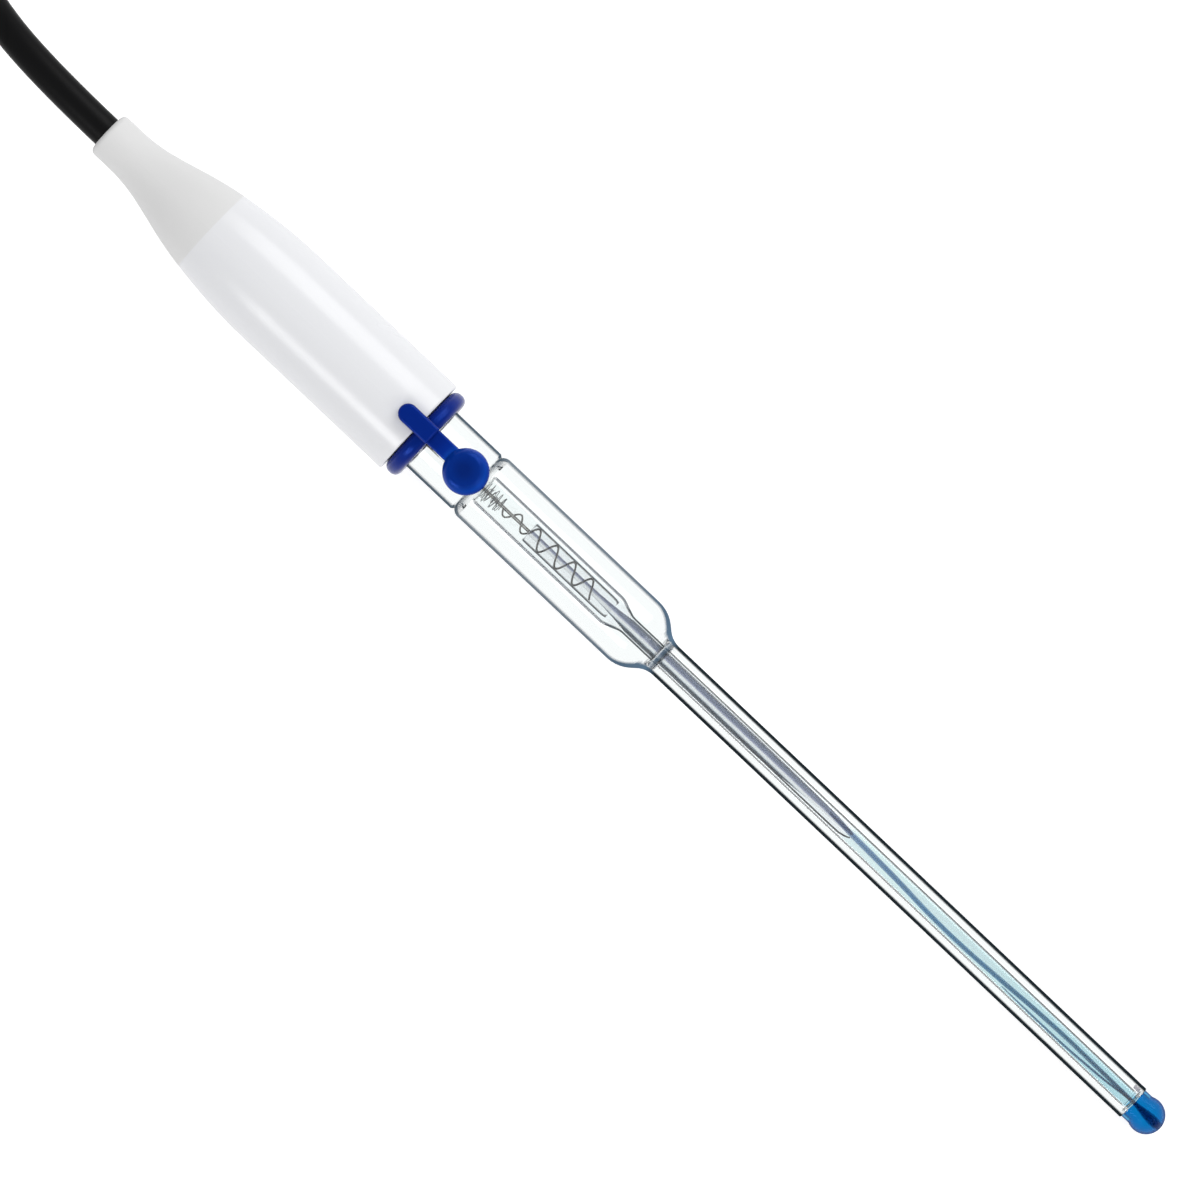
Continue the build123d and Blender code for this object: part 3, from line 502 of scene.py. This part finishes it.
def drawn_borosilicate(tree):
    # Thin clear tube: painted shade in slate draws its rim as a fine grey line, except where it is fused at
    # its ends.
    reach, radius = along_glass(tree)
    slim = node(tree, "ShaderNodeMapRange", {1: taper_from, 2: taper_to}, {0: reach})
    rim = painted_rim_shade(tree, slim, (0.4, 0.53), (0.37, 0.5))
    bore = node(tree, "ShaderNodeMapRange", {3: inside_cell, 4: inside_tube}, {0: slim})
    outside = node(tree, "ShaderNodeMath", {"operation": "GREATER_THAN"}, {0: radius, 1: bore})
    below = node(tree, "ShaderNodeMapRange", {1: cell_top_seal, 2: cell_top_seal + 0.0004}, {0: reach})
    above = node(
        tree,
        "ShaderNodeMapRange",
        {1: ring_seal - 0.0004, 2: ring_seal, 3: 1.0, 4: 0.0},
        {0: reach},
    )
    free = node(tree, "ShaderNodeMath", {"operation": "MULTIPLY"}, {0: below, 1: above})
    wall = node(tree, "ShaderNodeMath", {"operation": "MULTIPLY"}, {0: outside, 1: free})
    share = node(tree, "ShaderNodeMath", {"operation": "MULTIPLY"}, {0: rim, 1: wall})
    # Colours of the painted rim shade: grey in the cell, darker along the narrow tube.
    stops = [(0.0, "#5C6672"), (1.0, "#364147")]
    colour = node(tree, "ShaderNodeValToRGB", {"stops": stops}, {"Fac": slim})
    return clear_or_painted_shade(tree, share, colour, wetted_gloss)


def thin_sleeve(tree):
    # Thin-walled sleeve in the gel: see-through, with only its rim showing as a soft grey line of painted
    # shade.
    facing = node(tree, "ShaderNodeLayerWeight", {"Blend": 0.5})
    rim = node(
        tree, "ShaderNodeMapRange", {1: 0.4, 2: 0.75, 3: 0.02, 4: 0.75}, {0: facing.outputs["Facing"]}
    )
    clear = node(tree, "ShaderNodeBsdfTransparent")
    # Painted shade: a matt grey over the sleeve's rim.
    painted_slate_shade = node(tree, "ShaderNodeBsdfDiffuse", {"Color": linear("#5C6A76")})
    return node(tree, "ShaderNodeMixShader", {}, {0: rim, 1: clear, 2: painted_slate_shade})


def on_axis(reach, side=0.0, up=0.0):
    """A place on the electrode in mm: along it, to its left and up, all from its own axis."""
    return axis_start + (along * reach + upright * up + Vector((0, side, 0))) / 1000


def smooth_skin(shape):
    """Turns the faces of a closed shape outwards and shades them smooth."""
    bmesh.ops.recalc_face_normals(shape, faces=shape.faces)
    for face in shape.faces:
        face.smooth = True


def turned(name, profile, material, closed=False, steps=96):
    """A piece turned round the electrode's axis from its half profile of (along, radius) in mm."""
    shape = bmesh.new()
    corners = [shape.verts.new(on_axis(reach, 0, radius)) for reach, radius in profile]
    runs = [shape.edges.new(pair) for pair in zip(corners, corners[1:])]
    if closed:
        runs.append(shape.edges.new((corners[-1], corners[0])))
    bmesh.ops.spin(
        shape, geom=corners + runs, cent=axis_start, axis=along, angle=2 * pi, steps=steps, use_merge=True
    )
    bmesh.ops.remove_doubles(shape, verts=shape.verts, dist=1e-7)
    smooth_skin(shape)
    return new_piece(name, shape, material)


# The tube's outside, down to the ring seal, and then its bore back up to the top.
tube_profile = [(43, 1.3), (79.0, 1.3), (79.3, 1.32), (79.5, 1.46), (79.75, 1.85), (79.93, 2.12)]
tube_profile += [(80.1, 2.35), (80.35, 2.56), (80.65, 2.67), (81.0, 2.7), (81.3, 2.7), (107.6, 2.7)]
tube_profile += [(107.95, 2.7), (108.22, 2.687), (108.5, 2.646), (108.76, 2.58), (109.01, 2.496)]
tube_profile += [(109.9, 2.145), (110.886, 1.754), (111.14, 1.66), (111.4, 1.604), (111.68, 1.563)]
tube_profile += [(111.95, 1.55), (112.3, 1.55), (218.9, 1.55), (219.23, 1.55), (219.27, 1.6)]
tube_profile += [(219.5, 2.28), (219.55, 2.36), (219.6, 2.38), (219.87, 2.38), (219.9, 2.33)]
tube_profile += [(219.9, 1.0), (219.87, 0.95), (219.5, 0.95), (112.0, 0.95), (111.3, 0.95)]
tube_profile += [(111.05, 0.97), (110.9, 1.03), (108.4, 2.02), (108.2, 2.08), (108.0, 2.1)]
tube_profile += [(107.5, 2.1), (81.4, 2.1), (81.0, 2.1), (80.8, 2.04), (80.1, 0.94), (79.9, 0.86)]
tube_profile += [(79.6, 0.85), (43, 0.85)]
tube_glass = finish("drawn_borosilicate", drawn_borosilicate)
inner_tube = turned("inner_tube", tube_profile, tube_glass, closed=True, steps=128)
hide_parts("inner_glass_tube")
sleeve_profile = [(90.6, 1.24), (90.62, 1.3), (90.7, 1.32), (90.9, 1.32), (106.6, 1.32), (107.6, 1.3)]
sleeve_profile += [(108.2, 1.2), (108.2, 1.14), (107.5, 1.24), (106.6, 1.26), (90.9, 1.26)]
sleeve = turned("cell_sleeve", sleeve_profile, finish("thin_glass_sleeve", thin_sleeve), closed=True)


# Membrane bulb: thin pH-sensitive glass, tinted blue. It is blown on the end of the stem from a
# gather of its own glass.
def membrane_glass(tree):
    # Clear blue glass: light where it is looked straight through, deeper blue towards its rim, and painted
    # shade in matt navy over the rim itself.
    facing = node(tree, "ShaderNodeLayerWeight", {"Blend": 0.5})
    stops = [(0.0, "#50BEE8"), (0.45, "#46AADD"), (0.72, "#2A7ABC"), (1.0, "#08386F")]
    tint = node(tree, "ShaderNodeValToRGB", {"stops": stops}, {"Fac": facing.outputs["Facing"]})
    glass = node(
        tree,
        "ShaderNodeBsdfPrincipled",
        {"Transmission Weight": 1.0, "IOR": 1.5, "Roughness": 0.0, "Specular Tint": linear("#16457E")},
        {"Base Color": tint},
    )
    # Painted shade: a matt navy laid over the bulb's rim.
    rim = node(tree, "ShaderNodeMapRange", {1: 0.46, 2: 0.84}, {0: facing.outputs["Facing"]})
    painted_rim_navy = node(tree, "ShaderNodeBsdfDiffuse", {"Color": linear("#0A3F80")})
    return node(tree, "ShaderNodeMixShader", {}, {0: rim, 1: glass, 2: painted_rim_navy})


dress(finish("blue_membrane_glass", membrane_glass), "membrane_bulb")


# Ceramic junction: a short porous pin of sintered ceramic, fused through the stem's wall beside
# the bulb. Electrolyte seeps out through it.
def porous_ceramic(tree):
    # Sintered ceramic: chalky, darker where a pore is soaked. The pores are drawn 0.1 mm wide,
    # some ten times their real width, so that they show.
    place = node(tree, "ShaderNodeTexCoord")
    pores = node(
        tree, "ShaderNodeTexNoise", {"Scale": 9000.0, "Detail": 4.0}, {"Vector": place.outputs["Object"]}
    )
    stops = [(0.35, "#A9A2B6"), (0.6, "#EDE9F2")]
    tint = node(tree, "ShaderNodeValToRGB", {"stops": stops}, {"Fac": pores})
    grain = node(tree, "ShaderNodeBump", {"Strength": 0.6, "Distance": 0.00006}, {"Height": pores})
    return node(
        tree, "ShaderNodeBsdfPrincipled", {"Roughness": 0.85}, {"Base Color": tint, "Normal": grain}
    )


dress(finish("porous_ceramic", porous_ceramic), "ceramic_junction")


# Gel: a clear pale cyan gel that fills the cell up to its level, the inner tube and the bulb. It
# wets the glass, so its surface reaches a hair's breadth into the wall and leaves no film of air.
def pale_gel(tree):
    # Clear gel: colourless in the cell, pale cyan past the rod and deeper towards the bulb.
    place = node(tree, "ShaderNodeTexCoord")
    split = node(tree, "ShaderNodeSeparateXYZ", {}, {0: place.outputs["Object"]})
    reach = node(tree, "ShaderNodeMapRange", {1: gel_tint_start, 2: gel_tint_end}, {0: split})
    stops = [(0.0, "#FBFBFD"), (0.03, "#E4F1F2"), (0.45, "#D2E7EA"), (1.0, "#B0D8E2")]
    tint = node(tree, "ShaderNodeValToRGB", {"stops": stops}, {"Fac": reach})
    return node(
        tree,
        "ShaderNodeBsdfPrincipled",
        {"Transmission Weight": 1.0, "IOR": 1.33, "Roughness": 0.0, "Specular Tint": linear(wetted_gloss)},
        {"Base Color": tint},
    )


wetting = 0.02
cell_gel, tube_gel, bulb_gel = 2.1 + wetting, 0.95 + wetting, 2.6 + wetting
bulb_centre = 222.70382
gel_profile = [(90.56, 0), (90.56, 1.9), (90.55, 2.0), (90.5, cell_gel)]
gel_profile += [(90.55, cell_gel), (90.8, cell_gel), (107.8, cell_gel), (108.2, 2.1), (108.9, 1.9)]
gel_profile += [(110.4, 1.22), (110.9, 1.02), (111.3, tube_gel), (111.7, tube_gel), (219.7, tube_gel)]
gel_profile += [(219.88, tube_gel), (219.92, 1.0), (219.92, 2.26), (219.94, 2.31), (220.2, 2.31)]
gel_profile += [(221.0, 2.31)]
for step in range(13):
    turn = radians(116 - step * 116 / 12)
    gel_profile.append((bulb_centre + bulb_gel * cos(turn), bulb_gel * sin(turn)))
gel_tint_start, gel_tint_end = on_axis(158).x, on_axis(219).x
gel = turned("cyan_gel", gel_profile, finish("clear_cyan_gel", pale_gel))
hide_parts("inner_gel")


# Reference rod: satin grey ceramic, slim in the cell and thicker in the tube, ground away on one
# side over its last 17 mm. A fine silver wire runs along it and hooks round towards its end.
def smooth_run(keys, parts=4):
    """Rows of (along, left, up, radius) in mm, with more rows between them on one smooth line."""
    rows = []
    for index in range(len(keys) - 1):
        near = [Vector(keys[min(max(index + step, 0), len(keys) - 1)]) for step in (-1, 0, 1, 2)]
        for part in range(parts):
            t = part / parts
            ease = near[0] * 2 - near[1] * 5 + near[2] * 4 - near[3]
            bend = near[1] * 3 - near[0] - near[2] * 3 + near[3]
            rows.append(near[1] + 0.5 * t * (near[2] - near[0] + t * (ease + t * bend)))
    return rows + [Vector(keys[-1])]


def drawn(shape, rows, sides=12):
    """Draws one round bar or wire through rows of (along, left, up, radius) in mm."""
    middles = [on_axis(*row[:3]) for row in rows]
    last = len(rows) - 1
    before = None
    for index, middle in enumerate(middles):
        ahead = middles[min(index + 1, last)] - middles[max(index - 1, 0)]
        ring = bmesh.ops.create_circle(
            shape,
            segments=sides,
            radius=rows[index][3] / 1000,
            cap_ends=index in (0, last),
            matrix=Matrix.Translation(middle) @ ahead.to_track_quat("Z", "Y").to_matrix().to_4x4(),
        )["verts"]
        rim = list({edge for vert in ring for edge in vert.link_edges})
        if before:
            bmesh.ops.bridge_loops(shape, edges=before + rim)
        before = rim


def drawn_piece(name, runs, material, sides=12):
    """One piece of one or more drawn bars or wires."""
    shape = bmesh.new()
    for rows in runs:
        drawn(shape, rows, sides)
    smooth_skin(shape)
    return new_piece(name, shape, material)


def stained(tree, tint, solid):
    """A see-through stain, whose two surfaces each take their tint out of the light behind it."""
    through = node(tree, "ShaderNodeBsdfTransparent", {}, {"Color": tint})
    satin = node(
        tree,
        "ShaderNodeBsdfPrincipled",
        {"Roughness": 0.35, "Specular IOR Level": 0.3},
        {"Base Color": tint},
    )
    return node(tree, "ShaderNodeMixShader", {0: solid}, {1: through, 2: satin})


def ground_ceramic(tree):
    # Translucent drawn ceramic: lavender grey, with a dark grey band of painted shade on one flank and
    # a white line of painted highlight beside its middle. The die's marks on it are 0.2 mm wide and
    # 8 mm long, and they wobble the painted bands.
    place = node(tree, "ShaderNodeTexCoord")
    split = node(tree, "ShaderNodeSeparateXYZ", {}, {0: place.outputs["Object"]})
    painted_light_across = node(tree, "ShaderNodeMapRange", {1: -0.0008, 2: 0.0008}, {0: split.outputs["Y"]})
    stretch = node(
        tree, "ShaderNodeMapping", {"Scale": (0.02, 1.0, 1.0)}, {"Vector": place.outputs["Object"]}
    )
    marks = node(tree, "ShaderNodeTexNoise", {"Scale": 6000.0}, {"Vector": stretch})
    offset = node(tree, "ShaderNodeMapRange", {3: -0.05, 4: 0.05}, {0: marks})
    painted_light_place = node(tree, "ShaderNodeMath", {"operation": "ADD"}, {0: painted_light_across, 1: offset})
    # Across the rod: a dark band of painted shade, a white painted highlight, then lavender grey, greying
    # to its far edge.
    stops = [(0.0, "#8F98A2"), (0.1, "#6E7984"), (0.2, "#8C959E"), (0.28, "#F2F5F7"), (0.33, "#FFFFFF")]
    stops += [(0.48, "#FFFFFF"), (0.55, "#CFD1DE"), (0.7, "#A6ACBE"), (0.84, "#B9BFCC"), (0.95, "#8F959F")]
    return stained(tree, node(tree, "ShaderNodeValToRGB", {"stops": stops}, {"Fac": painted_light_place}), 0.12)


def dulled_silver(tree):
    # Fine silver wire: dulled to grey by its chloride coat, in patches of 1.2 mm.
    place = node(tree, "ShaderNodeTexCoord")
    tarnish = node(
        tree, "ShaderNodeTexNoise", {"Scale": 800.0, "Detail": 3.0}, {"Vector": place.outputs["Object"]}
    )
    stops = [(0.35, "#66625F"), (0.65, "#96928F")]
    tint = node(tree, "ShaderNodeValToRGB", {"stops": stops}, {"Fac": tarnish})
    return node(tree, "ShaderNodeBsdfPrincipled", {"Metallic": 0.6, "Roughness": 0.4}, {"Base Color": tint})


def blackened_silver(tree):
    # Silver blackened by its sulphide coat: soft, with brighter rubbed spots of 1 mm.
    place = node(tree, "ShaderNodeTexCoord")
    rubbed = node(tree, "ShaderNodeTexNoise", {"Scale": 900.0}, {"Vector": place.outputs["Object"]})
    stops = [(0.4, "#26292B"), (0.7, "#55585A")]
    tint = node(tree, "ShaderNodeValToRGB", {"stops": stops}, {"Fac": rubbed})
    return node(tree, "ShaderNodeBsdfPrincipled", {"Metallic": 0.4, "Roughness": 0.5}, {"Base Color": tint})


rod_keys = [(90.5, 0, 0, 0.2), (90.8, 0, 0, 0.34), (92.0, 0, 0, 0.36), (105.0, 0, 0, 0.38)]
rod_keys += [(111.0, 0, 0, 0.78), (113.0, 0, 0, 0.88), (125.0, 0, 0, 0.88), (138.0, 0, 0, 0.88)]
rod_keys += [(143.0, 0.06, 0, 0.8), (148.0, 0.17, 0, 0.66), (153.0, 0.27, 0, 0.48)]
rod_keys += [(156.0, 0.26, 0, 0.4), (158.6, 0.22, 0, 0.26), (159.5, 0.2, 0, 0.1)]
rod_ceramic = finish("ground_grey_ceramic", ground_ceramic)
rod = drawn_piece("reference_bar", [smooth_run(rod_keys)], rod_ceramic, 32)
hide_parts("reference_rod")
silver = finish("dulled_silver", dulled_silver)
dress(silver, "wire_coil", "lead_wire", "reference_wire")
wire_keys = [(136.0, -0.72, 0, 0.05), (146.0, -0.74, 0, 0.1), (156.3, -0.72, 0, 0.11)]
wire_keys += [(158.0, -0.62, 0, 0.1), (159.0, -0.42, 0, 0.1), (159.5, -0.2, 0, 0.08)]
black_silver = finish("blackened_silver", blackened_silver)
hooked_wire = drawn_piece("hooked_wire", [smooth_run(wire_keys)], black_silver)


# Dye threads: where the gel was drawn into the tube, two blue threads of dye lie in it, fine at
# the rod and gathered to a drop in the bulb.
def dye(tree):
    # Soft-edged threads: steel blue at the rod, teal further on, navy where they gather.
    place = node(tree, "ShaderNodeTexCoord")
    split = node(tree, "ShaderNodeSeparateXYZ", {}, {0: place.outputs["Object"]})
    reach = node(tree, "ShaderNodeMapRange", {1: on_axis(155).x, 2: on_axis(225).x}, {0: split})
    stops = [(0.0, "#9DB0CE"), (0.3, "#6AA4C8"), (0.7, "#4298B8"), (0.9, "#32789C"), (0.95, "#2A6698")]
    tint = node(tree, "ShaderNodeValToRGB", {"stops": stops}, {"Fac": reach})
    facing = node(tree, "ShaderNodeLayerWeight", {"Blend": 0.5})
    depths = [(0.0, "#F4F4F4"), (0.35, "#C8C8C8"), (0.9, "#000000")]
    body = node(tree, "ShaderNodeValToRGB", {"stops": depths}, {"Fac": facing.outputs["Facing"]})
    clear = node(tree, "ShaderNodeBsdfTransparent")
    return node(tree, "ShaderNodeMixShader", {}, {0: body, 1: clear, 2: stained(tree, tint, 0.1)})


thread_keys = [(154.5, 0.24, 0.1, 0.2), (157.0, 0.22, 0.1, 0.28), (160.2, 0.17, 0, 0.36)]
thread_keys += [(166.4, 0.04, 0, 0.36), (171.1, -0.12, 0, 0.34), (175.7, -0.32, 0, 0.33)]
thread_keys += [(180.4, -0.42, 0, 0.32), (185.1, -0.4, 0, 0.32), (189.8, -0.27, 0, 0.32)]
thread_keys += [(194.4, -0.13, 0, 0.31), (199.1, 0.05, 0, 0.3), (205.3, 0.16, 0, 0.29)]
thread_keys += [(211.6, 0.13, 0, 0.28), (217.8, 0.1, 0, 0.26), (220.0, 0.08, 0, 0.28)]
thread_keys += [(221.4, 0.07, 0, 0.4), (222.8, 0.05, 0, 0.6), (224.0, 0.03, 0, 0.66)]
thread_keys += [(224.7, 0.02, 0, 0.5), (225.1, 0.02, 0, 0.16)]
fine_keys = [(192.5, -0.66, 0, 0.06), (196.0, -0.7, 0, 0.11), (200.0, -0.72, 0, 0.14)]
fine_keys += [(205.3, -0.7, 0, 0.16), (210.1, -0.55, 0, 0.16), (214.7, -0.33, 0, 0.16)]
fine_keys += [(217.8, -0.05, 0, 0.16), (219.5, 0.05, 0, 0.16)]
thread_runs = [smooth_run(thread_keys), smooth_run(fine_keys)]
threads = drawn_piece("dye_threads", thread_runs, finish("blue_dye", dye), 24)


# Glass wool: a small tangle of glass fibre, pushed in to close the top of the cell. Its fibres
# are drawn 0.11 mm thick, some ten times their real thickness, so that they show.
def glass_fibre(tree):
    # Drawn glass fibre in gel: grey, and darker every 0.7 mm or so where fibres cross.
    place = node(tree, "ShaderNodeTexCoord")
    cross = node(tree, "ShaderNodeTexNoise", {"Scale": 1500.0}, {"Vector": place.outputs["Object"]})
    stops = [(0.35, "#30363B"), (0.65, "#6A7078")]
    tint = node(tree, "ShaderNodeValToRGB", {"stops": stops}, {"Fac": cross})
    return node(tree, "ShaderNodeBsdfPrincipled", {"Roughness": 0.3}, {"Base Color": tint})


tangle = Random(11)
wool_top, bend_spacing, fibre_radius = 81.1, 0.38, 0.055
fibres = []
for fibre in range(3):
    keys, turn = [], tangle.uniform(0, 2 * pi)
    for bend in range(10):
        turn, off_axis = turn + tangle.uniform(2.2, 3.6), tangle.uniform(1.3, 1.85)
        depth = wool_top + bend_spacing * bend + tangle.uniform(-0.25, 0.25)
        keys.append((depth, off_axis * cos(turn), off_axis * sin(turn), fibre_radius))
    fibres.append(smooth_run(keys, 6))
wool = drawn_piece("glass_wool", fibres, finish("glass_fibre", glass_fibre), 5)
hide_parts("glass_wool_plug")


# Stopper: one silicone moulding, a ring stretched on the glass with a pull tab, and a plug on a
# strap that lifts out of the refill hole. A short straight rounded bar, cut in eight slices, makes
# the strap's neck where it leaves the ring.
def blue_silicone(tree):
    # Moulded silicone: deep navy and satin, with bloom in patches of 1.4 mm. A bump makes the pad look
    # domed. Its colour is painted by distance from its middle: painted shade darkens the middle, a band
    # of painted light in a purer, brighter blue runs round its edge, and the ring and strap are plain navy.
    place = node(tree, "ShaderNodeTexCoord")
    bloom = node(
        tree, "ShaderNodeTexNoise", {"Scale": 700.0, "Detail": 3.0}, {"Vector": place.outputs["Object"]}
    )
    gloss = node(tree, "ShaderNodeMapRange", {3: 0.17, 4: 0.27}, {0: bloom})
    grain = node(tree, "ShaderNodeBump", {"Strength": 0.08, "Distance": 0.0001}, {"Height": bloom})
    middle = node(
        tree,
        "ShaderNodeVectorMath",
        {"operation": "DISTANCE", 1: pad_middle},
        {0: place.outputs["Object"]},
    )
    painted_light_spread = node(tree, "ShaderNodeMapRange", {1: 0.0, 2: 0.006}, {0: middle.outputs["Value"]})
    # Painted shade in the pad's middle, a band of painted light round its edge, then plain navy beyond.
    stops = [(0.12, "#04206A"), (0.4, "#052A80"), (0.56, "#083FA4"), (0.64, "#0A3694")]
    stops += [(0.7, "#04298A"), (0.95, "#04217A")]
    tint = node(tree, "ShaderNodeValToRGB", {"stops": stops}, {"Fac": painted_light_spread})
    dome = node(
        tree,
        "ShaderNodeMapRange",
        {"interpolation_type": "SMOOTHSTEP", 1: 0.0022, 2: 0.0037, 3: 1.0, 4: 0.0},
        {0: middle.outputs["Value"]},
    )
    domed = node(
        tree,
        "ShaderNodeBump",
        {"Strength": 1.0, "Distance": 0.0006},
        {"Height": dome, "Normal": grain},
    )
    return node(
        tree,
        "ShaderNodeBsdfPrincipled",
        {
            "Specular IOR Level": 0.4,
            "Specular Tint": linear("#4478FF"),
            "Subsurface Weight": 0.3,
            "Subsurface Radius": (0.2, 0.5, 1.0),
            "Subsurface Scale": 0.001,
        },
        {"Base Color": tint, "Roughness": gloss, "Normal": domed},
    )


pad_middle = on_axis(76.6, 0, 7.9)
silicone = finish("blue_silicone", blue_silicone)
dress(silicone, "stopper_ring", "refill_stopper")
neck_length, neck_width, neck_thickness = 0.0014, 0.00286, 0.00124
neck_slices = 8
neck_shape = bmesh.new()
bmesh.ops.create_cube(neck_shape, size=1)
bmesh.ops.scale(neck_shape, verts=neck_shape.verts, vec=(neck_length, neck_width, neck_thickness))
bmesh.ops.bevel(
    neck_shape,
    geom=[e for e in neck_shape.edges if abs((e.verts[0].co - e.verts[1].co).normalized().x) > 0.9],
    offset=0.00036,
    segments=3,
    affect="EDGES",
    profile=0.5,
    material=-1,
)
for cut in range(1, neck_slices):
    bmesh.ops.bisect_plane(
        neck_shape,
        geom=neck_shape.verts[:] + neck_shape.edges[:] + neck_shape.faces[:],
        plane_co=(neck_length * (cut / neck_slices - 0.5), 0, 0),
        plane_no=(1, 0, 0),
    )
bmesh.ops.transform(
    neck_shape,
    matrix=Matrix.Translation(on_axis(69.8, 0.4, 6.86)) @ Matrix.Rotation(tilt, 4, "Y"),
    verts=neck_shape.verts,
)
smooth_skin(neck_shape)
strap_neck = new_piece("strap_neck", neck_shape, silicone, None)
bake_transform(strap_neck)


# Plug: a bayonet coaxial plug in bright nickel with a turning ring, crimped to the cable under a
# ribbed rubber boot.
def bright_nickel(tree):
    # Bright nickel plate on turned brass: warm silver, mirror-like, with a light handling haze in
    # patches of 1.7 mm.
    place = node(tree, "ShaderNodeTexCoord")
    haze = node(
        tree, "ShaderNodeTexNoise", {"Scale": 600.0, "Detail": 3.0}, {"Vector": place.outputs["Object"]}
    )
    gloss = node(tree, "ShaderNodeMapRange", {3: 0.12, 4: 0.24}, {0: haze})
    return node(
        tree,
        "ShaderNodeBsdfPrincipled",
        {"Base Color": linear("#C6C1B8"), "Metallic": 1.0},
        {"Roughness": gloss},
    )


def moulded_rubber(tree):
    # Moulded rubber: near black and matt, with the mould's 0.3 mm grain.
    place = node(tree, "ShaderNodeTexCoord")
    texture = node(tree, "ShaderNodeTexNoise", {"Scale": 3500.0}, {"Vector": place.outputs["Object"]})
    grain = node(tree, "ShaderNodeBump", {"Strength": 0.3, "Distance": 0.00006}, {"Height": texture})
    return node(
        tree,
        "ShaderNodeBsdfPrincipled",
        {"Base Color": linear("#171719"), "Roughness": 0.62, "Specular IOR Level": 0.25},
        {"Normal": grain},
    )


def white_dielectric(tree):
    # Turned fluoropolymer: chalk white, its waxy gloss uneven over about 1 mm.
    place = node(tree, "ShaderNodeTexCoord")
    wax = node(tree, "ShaderNodeTexNoise", {"Scale": 900.0}, {"Vector": place.outputs["Object"]})
    gloss = node(tree, "ShaderNodeMapRange", {3: 0.35, 4: 0.5}, {0: wax})
    return node(tree, "ShaderNodeBsdfPrincipled", {"Base Color": linear("#EDEDE8")}, {"Roughness": gloss})


def gold_plate(tree):
    # Gold plate on a turned pin: warm yellow and bright, faintly hazed every 0.8 mm.
    place = node(tree, "ShaderNodeTexCoord")
    haze = node(tree, "ShaderNodeTexNoise", {"Scale": 1200.0}, {"Vector": place.outputs["Object"]})
    gloss = node(tree, "ShaderNodeMapRange", {3: 0.14, 4: 0.24}, {0: haze})
    return node(
        tree,
        "ShaderNodeBsdfPrincipled",
        {"Base Color": linear("#E2B458"), "Metallic": 1.0},
        {"Roughness": gloss},
    )


nickel = finish("bright_nickel", bright_nickel)
dress(nickel, "plug_ferrule", "plug_body", "plug_washer", "coupling_ring")
dress(finish("moulded_black_rubber", moulded_rubber), "plug_boot", "plug_gasket")
dress(finish("white_dielectric", white_dielectric), "plug_insulator")
dress(finish("gold_plate", gold_plate), "plug_pin")


# Ties: two bands of black hook-and-loop tape, woven in nylon. One is wrapped round each side of
# the hank.
def loop_tape(tree):
    # Woven nylon pile: black and dull, its loops 0.45 mm apart, with painted shade darkening the gaps
    # between them.
    place = node(tree, "ShaderNodeTexCoord")
    loops = node(tree, "ShaderNodeTexVoronoi", {"Scale": 2200.0}, {"Vector": place.outputs["Object"]})
    grain = node(tree, "ShaderNodeBump", {"Strength": 0.8, "Distance": 0.0002}, {"Height": loops})
    # Painted shade: the loop tops lighter, the gaps between them darker.
    stops = [(0.1, "#232326"), (0.6, "#0C0C0E")]
    tint = node(tree, "ShaderNodeValToRGB", {"stops": stops}, {"Fac": loops})
    return node(
        tree,
        "ShaderNodeBsdfPrincipled",
        {"Roughness": 0.85, "Specular IOR Level": 0.2},
        {"Base Color": tint, "Normal": grain},
    )


dress(finish("hook_and_loop_tape", loop_tape), "cable_ties")
